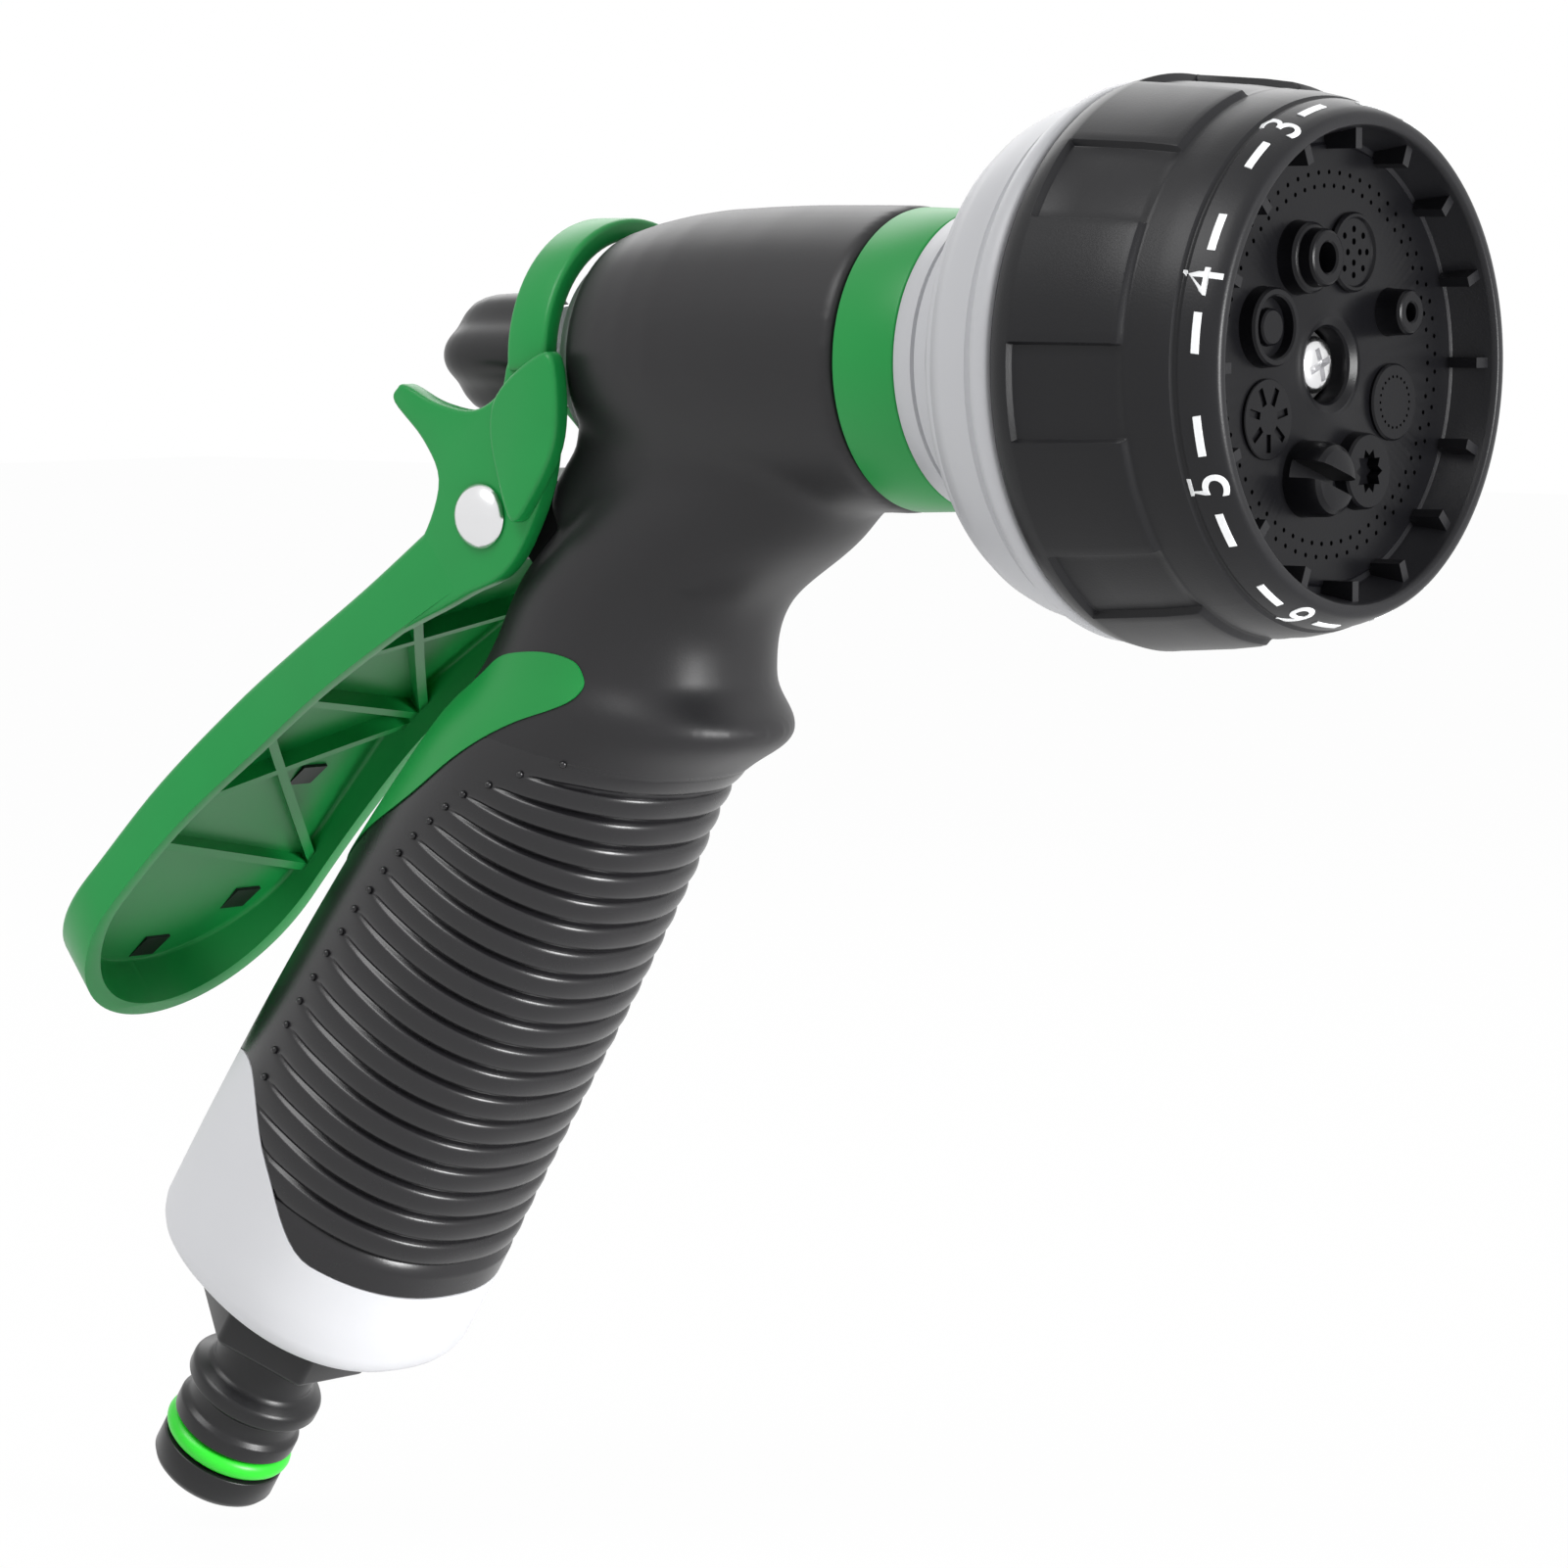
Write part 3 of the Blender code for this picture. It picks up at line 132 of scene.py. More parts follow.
def spline(rows: Sequence[Sequence[float]], share: float) -> list[float]:
    """Read a smooth curve through four rows.

    Args:
        rows: Four rows of equal length.
        share: Place between the second row and the third, from 0 to 1.

    Returns:
        One value for each column.
    """
    return [0.5 * (2.0 * b + (c - a) * share + (2.0 * a - 5.0 * b + 4.0 * c - d) * share * share
                   + (3.0 * b - a - 3.0 * c + d) * share ** 3) for a, b, c, d in zip(*rows)]


def full_turn(count: int) -> list[float]:
    """Return angles spaced evenly round a full turn."""
    return [math.tau * i / count for i in range(count)]


def math_node(tree: bpy.types.NodeTree, operation: str, *values: object) -> bpy.types.NodeSocket:
    """Add a math node to a shader.

    Args:
        tree: Node tree that it joins.
        operation: What it does with its values.
        values: Sockets to link to its inputs, or plain numbers.

    Returns:
        The node's output.
    """
    node = tree.nodes.new("ShaderNodeMath")
    node.operation = operation
    for socket, value in zip(node.inputs, values):
        if isinstance(value, bpy.types.NodeSocket):
            tree.links.new(value, socket)
        else:
            socket.default_value = value
    return node.outputs[0]


class Bench:
    """Hand tools of the modelling bench: each makes or changes one mesh piece."""

    @staticmethod
    def clear() -> None:
        """Leave edit mode and deselect everything."""
        if bpy.context.object and bpy.context.object.mode != "OBJECT":
            bpy.ops.object.mode_set(mode="OBJECT")
        bpy.ops.object.select_all(action="DESELECT")

    @staticmethod
    def pick(*pieces: bpy.types.Object) -> None:
        """Select pieces and make the first one active."""
        Bench.clear()
        for piece in pieces:
            piece.select_set(True)
        bpy.context.view_layer.objects.active = pieces[0]

    @staticmethod
    def settle(piece: bpy.types.Object, place: Matrix) -> bpy.types.Object:
        """Put a piece at a frame and bake the place into its mesh."""
        Bench.pick(piece)
        piece.matrix_world = place @ piece.matrix_world
        bpy.ops.object.transform_apply(location=True, rotation=True, scale=True)
        return piece

    @staticmethod
    def turn(name: str, profile: Profile, place: Matrix, steps: int = 96, closed: bool = False,
             at: Vector = Vector()) -> bpy.types.Object:
        """Turn a profile on the lathe.

        Args:
            name: Name of the piece.
            profile: Points of (along, radius); an end radius of 0 closes that end.
            place: Frame whose Z is the turning axis.
            steps: Facets round the axis.
            closed: Whether the last point joins the first, as on a ring.
            at: Offset of the axis in the frame.

        Returns:
            The turned piece.
        """
        Bench.clear()
        points = list(profile) + ([profile[0]] if closed else [])
        capped = points[0][1] <= 0.0
        if capped:
            points = points[1:]
        start, radius = points[0]
        bpy.ops.mesh.primitive_circle_add(vertices=steps, radius=radius, location=(0.0, 0.0, start))
        piece = bpy.context.object
        piece.name = name
        bpy.ops.object.transform_apply(location=True, rotation=True, scale=True)
        bpy.ops.object.mode_set(mode="EDIT")
        bpy.ops.mesh.select_all(action="SELECT")
        if capped:
            bpy.ops.mesh.edge_face_add()
            bpy.ops.mesh.select_mode(type="EDGE")
        for (low, wide), (high, narrow) in zip(points, points[1:]):
            bpy.ops.mesh.extrude_edges_move(TRANSFORM_OT_translate={"value": (0.0, 0.0, high - low)})
            if narrow <= 0.0:
                bpy.ops.mesh.merge(type="CENTER")
                break
            share = narrow / wide
            bpy.ops.transform.resize(value=(share, share, 1.0), center_override=(0.0, 0.0, 0.0))
        bpy.ops.mesh.select_mode(type="VERT")
        bpy.ops.mesh.select_all(action="SELECT")
        bpy.ops.mesh.remove_doubles(threshold=1e-6)
        bpy.ops.mesh.normals_make_consistent(inside=False)
        bpy.ops.object.mode_set(mode="OBJECT")
        return Bench.settle(piece, place @ Matrix.Translation(at))

    @staticmethod
    def skin(name: str, rings: Sequence[Ring], place: Matrix, cyclic: bool = False) -> bpy.types.Object:
        """Skin a row of equal rings into one closed piece.

        Args:
            name: Name of the piece.
            rings: Rows of points, each as long as the others.
            place: Frame that the points are in.
            cyclic: Whether the last ring joins the first instead of being capped.

        Returns:
            The skinned piece.
        """
        Bench.clear()
        bm = bmesh.new()
        rows = [[bm.verts.new(point) for point in ring] for ring in rings]
        pairs = list(zip(rows, rows[1:])) + ([(rows[-1], rows[0])] if cyclic else [])
        for low, high in pairs:
            for i, vert in enumerate(low):
                j = (i + 1) % len(low)
                bm.faces.new((vert, low[j], high[j], high[i]))
        if not cyclic:
            bm.faces.new(rows[0])
            bm.faces.new(rows[-1])
        bmesh.ops.remove_doubles(bm, verts=bm.verts, dist=1e-7)
        bmesh.ops.recalc_face_normals(bm, faces=bm.faces)
        mesh = bpy.data.meshes.new(name)
        bm.to_mesh(mesh)
        bm.free()
        piece = bpy.data.objects.new(name, mesh)
        bpy.context.scene.collection.objects.link(piece)
        return Bench.settle(piece, place)

    @staticmethod
    def slab(name: str, outline: Profile, low: float, high: float, place: Matrix) -> bpy.types.Object:
        """Extrude an (x, z) outline across Y, from low to high."""
        rings = [[Vector((x, y, z)) for x, z in outline] for y in (low, high)]
        return Bench.skin(name, rings, place)

    @staticmethod
    def curve(points: Profile, steps: int) -> list[tuple[float, float]]:
        """Round a closed outline into a smooth one.

        Args:
            points: Corners of the outline.
            steps: Points from one corner to the next.

        Returns:
            The smooth outline through all the corners.
        """
        count = len(points)
        spans = [[points[(i + k) % count] for k in (-1, 0, 1, 2)] for i in range(count)]
        return [tuple(spline(rows, j / steps)) for rows in spans for j in range(steps)]

    @staticmethod
    def box(name: str, size: Sequence[float], middle: Sequence[float],
            place: Matrix) -> bpy.types.Object:
        """Add a block of a size about a point of a frame."""
        Bench.clear()
        bpy.ops.mesh.primitive_cube_add(size=1.0)
        piece = bpy.context.object
        piece.name = name
        piece.matrix_world = Matrix.Translation(middle) @ Matrix.Diagonal((*size, 1.0))
        return Bench.settle(piece, place)

    @staticmethod
    def apply(piece: bpy.types.Object, kind: str, **settings: object) -> bpy.types.Object:
        """Add a modifier with settings and apply it."""
        Bench.pick(piece)
        step = piece.modifiers.new(kind.lower(), kind)
        for key, value in settings.items():
            setattr(step, key, value)
        bpy.ops.object.modifier_apply(modifier=step.name)
        return piece

    @staticmethod
    def merge(piece: bpy.types.Object, others: Iterable[bpy.types.Object]) -> bpy.types.Object:
        """Join pieces into the first one's mesh."""
        Bench.pick(piece, *others)
        bpy.ops.object.join()
        return piece

    @staticmethod
    def combine(piece: bpy.types.Object, operation: str, tool: bpy.types.Object) -> bpy.types.Object:
        """Cut, join or intersect a piece with a tool, which is used up."""
        Bench.apply(piece, "BOOLEAN", operation=operation, solver="EXACT", object=tool)
        bpy.data.objects.remove(tool, do_unlink=True)
        return piece

    @staticmethod
    def cut(piece: bpy.types.Object, tools: Sequence[bpy.types.Object]) -> bpy.types.Object:
        """Cut a piece with tools all at once; they are used up."""
        tool = Bench.merge(tools[0], tools[1:]) if len(tools) > 1 else tools[0]
        return Bench.combine(piece, "DIFFERENCE", tool)

    @staticmethod
    def soften(piece: bpy.types.Object, width: float = 0.0, segments: int = 3,
               angle: float = 32.0) -> bpy.types.Object:
        """Round the hard edges of a piece and shade it smooth.

        Args:
            piece: Piece to finish.
            width: Width of the rounding; 0 leaves the edges as they are.
            segments: Steps of the rounding.
            angle: Angle in degrees from which an edge is hard.

        Returns:
            The same piece.
        """
        if width > 0.0:
            Bench.apply(piece, "BEVEL", width=width, segments=segments, limit_method="ANGLE",
                        angle_limit=math.radians(angle), use_clamp_overlap=True)
        Bench.pick(piece)
        bpy.ops.object.shade_smooth_by_angle(angle=math.radians(angle))
        return piece


class Effects:
    """Shader node groups that several finishes share."""

    made: dict[str, bpy.types.NodeTree] = {}
    cloud_scale: float = 90.0
    cloud_detail: float = 4.0
    grain_detail: float = 2.0

    @classmethod
    def start(cls, name: str, inputs: Sequence[tuple[str, str, object]],
              outputs: Sequence[tuple[str, str]]) -> bpy.types.NodeTree:
        """Open a node group with named sockets.

        Args:
            name: Name of the group.
            inputs: Rows of (name, socket type, default).
            outputs: Rows of (name, socket type).

        Returns:
            The empty group with its input and output nodes.
        """
        tree = bpy.data.node_groups.new(name, "ShaderNodeTree")
        for label, kind, default in inputs:
            socket = tree.interface.new_socket(name=label, in_out="INPUT", socket_type=kind)
            socket.default_value = default
        for label, kind in outputs:
            tree.interface.new_socket(name=label, in_out="OUTPUT", socket_type=kind)
        tree.nodes.new("NodeGroupInput").name = "in"
        tree.nodes.new("NodeGroupOutput").name = "out"
        cls.made[name] = tree
        return tree

    @classmethod
    def moulded(cls) -> bpy.types.NodeTree:
        """Return moulded plastic: cloudy tone, uneven gloss and a fine spark-eroded grain."""
        if "moulded" in cls.made:
            return cls.made["moulded"]
        tree = cls.start("moulded", (
            ("Colour", "NodeSocketColor", (0.5, 0.5, 0.5, 1.0)),
            ("Tone", "NodeSocketFloat", 0.06),
            ("Gloss", "NodeSocketFloat", 0.4),
            ("Gloss Spread", "NodeSocketFloat", 0.08),
            ("Grain Scale", "NodeSocketFloat", 4000.0)),
            (("Colour", "NodeSocketColor"), ("Roughness", "NodeSocketFloat"), ("Height", "NodeSocketFloat")))
        nodes, links = tree.nodes, tree.links
        given, result = nodes["in"].outputs, nodes["out"].inputs
        place = nodes.new("ShaderNodeTexCoord").outputs["Object"]
        cloud = nodes.new("ShaderNodeTexNoise")
        cloud.inputs["Scale"].default_value = cls.cloud_scale
        cloud.inputs["Detail"].default_value = cls.cloud_detail
        links.new(place, cloud.inputs["Vector"])
        swing = math_node(tree, "SUBTRACT", cloud.outputs["Fac"], 0.5)
        tone = math_node(tree, "MULTIPLY_ADD", swing, given["Tone"], 1.0)
        shade = nodes.new("ShaderNodeVectorMath")
        shade.operation = "SCALE"
        links.new(given["Colour"], shade.inputs[0])
        links.new(tone, shade.inputs["Scale"])
        links.new(shade.outputs["Vector"], result["Colour"])
        gloss = math_node(tree, "MULTIPLY_ADD", swing, given["Gloss Spread"], given["Gloss"])
        links.new(gloss, result["Roughness"])
        grain = nodes.new("ShaderNodeTexNoise")
        grain.inputs["Detail"].default_value = cls.grain_detail
        links.new(place, grain.inputs["Vector"])
        links.new(given["Grain Scale"], grain.inputs["Scale"])
        links.new(grain.outputs["Fac"], result["Height"])
        return tree


@dataclass(frozen=True)
class Finish:
    """A moulded plastic, rubber or bright metal finish."""

    name: str
    colour: tuple[float, float, float]
    gloss: float
    spread: float = 0.10
    tone: float = 0.10
    grain: float = 4000.0
    bump: float = 0.05
    reach: float = 0.0002
    specular: float = 0.5
    metallic: float = 0.0

    def make(self) -> bpy.types.Material:
        """Return the material, made once."""
        found = bpy.data.materials.get(self.name)
        if found:
            return found
        made = bpy.data.materials.new(self.name)
        made.use_nodes = True
        nodes, links = made.node_tree.nodes, made.node_tree.links
        shader, effect, bump = (nodes["Principled BSDF"], nodes.new("ShaderNodeGroup"),
                                nodes.new("ShaderNodeBump"))
        effect.node_tree = Effects.moulded()
        for node, values in (
                (shader, {"Specular IOR Level": self.specular, "Metallic": self.metallic}),
                (effect, {"Colour": (*self.colour, 1.0), "Tone": self.tone, "Gloss": self.gloss,
                          "Gloss Spread": self.spread, "Grain Scale": self.grain}),
                (bump, {"Strength": self.bump, "Distance": self.reach})):
            for label, value in values.items():
                node.inputs[label].default_value = value
        links.new(effect.outputs["Colour"], shader.inputs["Base Color"])
        links.new(effect.outputs["Roughness"], shader.inputs["Roughness"])
        links.new(effect.outputs["Height"], bump.inputs["Height"])
        links.new(bump.outputs["Normal"], shader.inputs["Normal"])
        return made


SOFT_BLACK = Finish("soft_black_rubber", (0.0125, 0.0120, 0.0135), 0.41, grain=5200.0, specular=0.38)
RIB_BLACK = Finish("ribbed_black_rubber", (0.0085, 0.0080, 0.0095), 0.27, grain=5200.0, specular=0.48)
DIAL_BLACK = Finish("dial_black_plastic", (0.0085, 0.0085, 0.0100), 0.36, bump=0.06, specular=0.26)
FACE_BLACK = Finish("face_black_plastic", (0.0045, 0.0045, 0.0055), 0.30, bump=0.04, specular=0.16)
HARD_BLACK = Finish("hard_black_plastic", (0.012, 0.012, 0.013), 0.32, bump=0.03, specular=0.36)
GREEN = Finish("trigger_green_plastic", (0.009, 0.285, 0.058), 0.36, bump=0.03, tone=0.14, specular=0.36)
RING_GREEN = Finish("trim_green_plastic", (0.009, 0.275, 0.052), 0.40, bump=0.03, specular=0.36)
PALE_GREY = Finish("dish_grey_plastic", (0.505, 0.510, 0.530), 0.42, bump=0.02, tone=0.05)
PALE_WHITE = Finish("collar_pale_plastic", (0.690, 0.695, 0.720), 0.45, bump=0.02, tone=0.04)
BRIGHT_GREEN = Finish("o_ring_green_rubber", (0.022, 0.700, 0.024), 0.34, bump=0.02)
SEAL = Finish("seal_black_rubber", (0.020, 0.020, 0.021), 0.55)
PRINT = Finish("white_dial_print", (0.780, 0.790, 0.800), 0.50, bump=0.02, tone=0.05)
STEEL = Finish("polished_steel", (0.780, 0.780, 0.790), 0.22, spread=0.12, tone=0.12, grain=1500.0,
               bump=0.04, reach=0.0003, metallic=1.0)
SPRING_STEEL = replace(STEEL, name="spring_steel", colour=(0.560, 0.560, 0.570), gloss=0.30)


def dress(piece: bpy.types.Object, finish: Finish) -> bpy.types.Object:
    """Give a piece one finish all over."""
    piece.data.materials.clear()
    piece.data.materials.append(finish.make())
    return piece


def seat(piece: bpy.types.Object, body: Body, slot: Slot, *nodes: str) -> bpy.types.Object:
    """Let a finished piece ride on a body and stand for CAD nodes.

    Args:
        piece: Finished piece.
        body: Body that it moves with.
        slot: Record slot that its finish belongs to; not used.
        nodes: CAD nodes that it replaces.

    Returns:
        The same piece.
    """
    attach(piece, body.value)
    if nodes:
        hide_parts(*nodes)
    log.info("%s on %s, %d faces", piece.name, body.value, len(piece.data.polygons))
    return piece


@dataclass
class HandleShape:
    """The swept form of the handle, along its own axis from the hose end."""

    # rear station, rear depth, front station, front depth, half width
    sections: tuple[tuple[float, ...], ...] = (
        (0.0250, 0.0192, 0.0250, 0.0192, 0.0188),
        (0.0450, 0.0193, 0.0450, 0.0193, 0.0186),
        (0.0650, 0.0188, 0.0650, 0.0188, 0.0182),
        (0.0850, 0.0176, 0.0850, 0.0186, 0.0176),
        (0.0985, 0.0161, 0.1020, 0.0180, 0.0170),
        (0.1060, 0.0148, 0.1170, 0.0172, 0.0166),
        (0.1120, 0.0135, 0.1272, 0.0214, 0.0160),
        (0.1175, 0.0131, 0.1312, 0.0157, 0.0150),
        (0.1270, 0.0136, 0.1395, 0.0129, 0.0145),
        (0.1400, 0.0114, 0.1530, 0.0186, 0.0136),
        (0.1510, 0.0090, 0.1650, 0.0200, 0.0110),
    )
    power: float = 2.3
    steps: int = 96
    search: int = 40

    def blend(self, place: float) -> list[float]:
        """Read a smooth curve through the sections at a fractional row."""
        last = len(self.sections) - 1
        index = min(int(place), last - 1)
        rows = [self.sections[min(max(index + k, 0), last)] for k in (-1, 0, 1, 2)]
        return spline(rows, place - index)

    def place(self, station: float) -> float:
        """Return the fractional row whose front lies at a station."""
        low, high = 0.0, len(self.sections) - 1.0
        for _ in range(self.search):
            middle = 0.5 * (low + high)
            if self.blend(middle)[2] < station:
                low = middle
            else:
                high = middle
        return low

    def point(self, place: float, angle: float, inset: float = 0.0,
              station: Optional[float] = None) -> Vector:
        """Return a point of the skin.

        Args:
            place: Fractional row of the sections.
            angle: Angle round the handle; 0 is the front, half a turn the rear.
            inset: Depth under the skin.
            station: Fixed station along the handle, or None to follow the row.

        Returns:
            The point in the handle frame.
        """
        rear_at, rear, front_at, front, half = self.blend(place)
        power = 2.0 / self.power
        depth = math.copysign(abs(math.cos(angle)) ** power, math.cos(angle))
        across = math.copysign(abs(math.sin(angle)) ** power, math.sin(angle))
        share = 0.5 * (1.0 + depth)
        along = rear_at + (front_at - rear_at) * share if station is None else station
        return Vector((-(rear - inset) + (rear + front - 2.0 * inset) * share,
                       (half - inset) * across, along))

    def ring(self, place: float, inset: float = 0.0) -> Ring:
        """Return one ring of the skin."""
        return [self.point(place, angle, inset) for angle in full_turn(self.steps)]

    def level(self, station: Callable[[float], float], inset: float = 0.0) -> Ring:
        """Return a ring whose station along the handle is set at each angle.

        Args:
            station: Gives the station at an angle round the handle.
            inset: Depth under the skin.

        Returns:
            The ring's points in the handle frame.
        """
        return [self.point(self.place(station(angle)), angle, inset, station(angle))
                for angle in full_turn(self.steps)]

    def depth_of(self, point: Vector) -> float:
        """Return roughly how far a point of the handle frame lies outside the skin."""
        place = self.place(point.z)
        _, rear, _, front, half = self.blend(place)
        middle, reach = 0.5 * (front - rear), 0.5 * (front + rear)
        share = (abs((point.x - middle) / reach) ** self.power + abs(point.y / half) ** self.power)
        return (share ** (1.0 / self.power) - 1.0) * half


SHAPE = HandleShape()


@dataclass
class Grip:
    """The soft black cover of barrel and handle."""

    collar_bottom: float = 0.0310
    collar_front: float = 0.0130
    collar_peak: float = 0.0270
    collar_back: float = 0.0190
    collar_rise_turn: float = math.radians(60.0)
    collar_peak_turn: float = math.radians(120.0)
    foot_rise: float = 0.0040
    foot_depth: float = 0.0040
    foot_gap: float = 0.0002
    lead_steps: int = 24
    grooves: int = 21
    first_groove: float = 0.0485
    groove_pitch: float = 0.00355
    groove_depth: float = 0.00085
    groove_fade: tuple[float, float] = (-0.0004, 0.0011)
    groove_thin: float = 0.45
    groove_full: float = 0.0120
    seam_groove: float = 0.98
    pip_radius: float = 0.00045
    pip_inset: float = 0.0003
    pip_degrees: range = range(20, 150)
    tuck: float = 0.35
    tuck_depth: float = 0.0005
    tuck_shares: tuple[float, ...] = (0.4, 0.7, 1.0)
    tuck_steps: int = 6
    neck_steps: int = 60
    # station and front of the curve where the grooves begin on each side
    groove_ends: Profile = (
        (0.0480, 0.0020), (0.0524, -0.0036), (0.0559, -0.0054), (0.0632, -0.0070), (0.0740, -0.0069),
        (0.0844, -0.0060), (0.0917, -0.0046), (0.0982, -0.0028), (0.1056, 0.0004), (0.1089, 0.0030),
        (0.1137, 0.0070), (0.1216, 0.0150))
    # share of a pitch and share of the groove's depth
    groove_profile: Profile = (
        (0.0, 1.0), (0.04, 0.82), (0.08, 0.56), (0.13, 0.38), (0.20, 0.22), (0.30, 0.08), (0.43, -0.01),
        (0.58, -0.05), (0.74, 0.0), (0.86, 0.14), (0.92, 0.40), (0.96, 0.82))
    barrel: Profile = (
        (-0.0725, 0.0), (-0.0725, 0.0136), (-0.0717, 0.0142), (-0.0670, 0.0154), (-0.0630, 0.0161),
        (-0.0585, 0.0166), (-0.0520, 0.01688), (-0.0465, 0.0170), (-0.0400, 0.01697), (-0.0325, 0.0169),
        (-0.0317, 0.0163), (-0.0317, 0.0))
    # outline of the web between neck and barrel, along the barrel and up from its axis
    web: Profile = (
        (-0.0724, -0.0040), (-0.0735, -0.0100), (-0.0765, -0.0140), (-0.0775, -0.0170),
        (-0.0745, -0.0225), (-0.0690, -0.0260), (-0.0560, -0.0260), (-0.0560, -0.0040))
    web_half: float = 0.0116
    web_round: float = 0.0015
    blend_reach: float = 0.013
    blend_full: float = 0.7
    blend_below: float = 0.002
    # stations of the barrel between which the blending fades out at each end
    front_fade: tuple[float, float] = (-0.0317, -0.0365)
    rear_fade: tuple[float, float] = (-0.0725, -0.0660)
    blend_passes: int = 140
    even_passes: int = 4
    voxel: float = 0.0006

    def collar_edge(self, angle: float) -> float:
        """Return the station of the collar's edge at an angle round the handle."""
        turn = min(angle, math.tau - angle)
        peak, at = self.collar_peak, self.collar_peak_turn
        if turn < at:
            share = smooth(self.collar_rise_turn, at, turn)
            rise = self.collar_front + (peak - self.collar_front) * share
        else:
            rise = peak - (peak - self.collar_back) * smooth(at, math.pi, turn)
        return self.collar_bottom + rise

    def foot_edge(self, angle: float) -> float:
        """Return the station of the cover's lower edge, just above the collar's."""
        return self.collar_edge(angle) + self.foot_gap

    def groove_share(self, point: Vector) -> float:
        """Return how fully the grooves are formed at a point of the handle."""
        end = table(self.groove_ends, point.z)
        low, high = self.groove_fade
        full = self.groove_thin + (1.0 - self.groove_thin) * smooth(end, self.groove_full, point.x)
        return smooth(end + low, end + high, point.x) * full

    def build_ribbed(self, top: float) -> bpy.types.Object:
        """Model the ribbed lower part of the handle's cover, up to a fractional row."""
        rows: list[tuple[float, float]] = []
        for k in range(self.grooves):
            low = SHAPE.place(self.first_groove + self.groove_pitch * k)
            high = SHAPE.place(self.first_groove + self.groove_pitch * (k + 1))
            rows += [(low + (high - low) * share, deep) for share, deep in self.groove_profile]
        start = SHAPE.place(self.collar_bottom + self.foot_rise)
        first = SHAPE.place(self.first_groove)
        steps = self.lead_steps
        lead = [(start + (first - start) * i / steps, 0.0) for i in range(steps - 1)]
        edges = [(angle, self.foot_edge(angle)) for angle in full_turn(SHAPE.steps)]
        rings = [SHAPE.level(self.foot_edge, self.foot_depth)]
        tuck = [(top + self.tuck * share, self.tuck_depth * share / self.groove_depth)
                for share in self.tuck_shares]
        for place, deep in lead + [row for row in rows if row[0] < top] + [(top, 0.0)] + tuck:
            ring = []
            for angle, edge in edges:
                point = SHAPE.point(place, angle)
                share = 1.0 if place > top else self.groove_share(point)
                point = SHAPE.point(place, angle, self.groove_depth * deep * share)
                if point.z < edge:
                    point = SHAPE.point(SHAPE.place(edge), angle, 0.0, edge)
                ring.append(point)
            rings.append(ring)
        return Bench.skin("grip_ribbed_cover", rings, HANDLE)

    def build_pips(self) -> list[bpy.types.Object]:
        """Model the small pips at the ends of the grooves."""
        pips = []
        for k in range(self.grooves):
            station = self.first_groove + self.groove_pitch * k
            place = SHAPE.place(station)
            for side in (-1.0, 1.0):
                angle = min(map(math.radians, self.pip_degrees), key=lambda a: abs(
                    SHAPE.point(place, a).x - table(self.groove_ends, SHAPE.point(place, a).z)
                    + self.pip_inset))
                best = SHAPE.point(place, side * angle)
                if best.z < self.collar_edge(angle) + 2.0 * self.pip_radius:
                    continue
                Bench.clear()
                bpy.ops.mesh.primitive_uv_sphere_add(segments=10, ring_count=6, radius=self.pip_radius)
                pip = bpy.context.object
                pip.name = f"grip_pip_{k}_{'left' if side < 0 else 'right'}"
                pips.append(Bench.settle(pip, HANDLE @ Matrix.Translation(best)))
        return pips

    def build_upper(self, bottom: float) -> bpy.types.Object:
        """Model the plain upper cover: the barrel and the handle's neck in one smooth form."""
        cover = Bench.turn("grip_plain_cover", self.barrel, BARREL, 128)
        top = len(SHAPE.sections) - 1
        low = bottom - self.tuck
        steps = self.tuck_steps
        rings = [SHAPE.ring(low + self.tuck * i / steps, self.tuck_depth * (1.0 - i / steps))
                 for i in range(steps)]
        rings += [SHAPE.ring(bottom + (top - bottom) * i / self.neck_steps)
                  for i in range(self.neck_steps + 1)]
        neck = Bench.skin("grip_neck", rings, HANDLE)
        web = Bench.slab("grip_web", self.web, -self.web_half, self.web_half,
                         Matrix.Translation(BARREL_ORIGIN))
        Bench.merge(cover, [neck, Bench.soften(web, self.web_round, angle=30.0)])
        Bench.apply(cover, "REMESH", mode="VOXEL", voxel_size=self.voxel)
        group = cover.vertex_groups.new(name="blend")
        to_barrel, to_handle = BARREL.inverted(), HANDLE.inverted()
        skin = [(along, radius) for along, radius in self.barrel if radius > 0.0]
        for vert in cover.data.vertices:
            at = to_barrel @ vert.co
            off_barrel = math.hypot(at.x, at.y) - table(skin, at.z)
            if abs(off_barrel) > self.blend_reach or at.x < self.blend_below:
                continue
            off_handle = SHAPE.depth_of(to_handle @ vert.co)
            share = 1.0 - (abs(off_barrel) + abs(off_handle)) / self.blend_reach
            ends = smooth(*self.front_fade, at.z) * smooth(*self.rear_fade, at.z)
            if share > 0.0:
                group.add([vert.index], smooth(0.0, self.blend_full, share) * ends, "REPLACE")
        Bench.apply(cover, "SMOOTH", factor=0.5, iterations=self.blend_passes, vertex_group="blend")
        Bench.apply(cover, "SMOOTH", factor=0.5, iterations=self.even_passes)
        cover.vertex_groups.clear()
        return cover

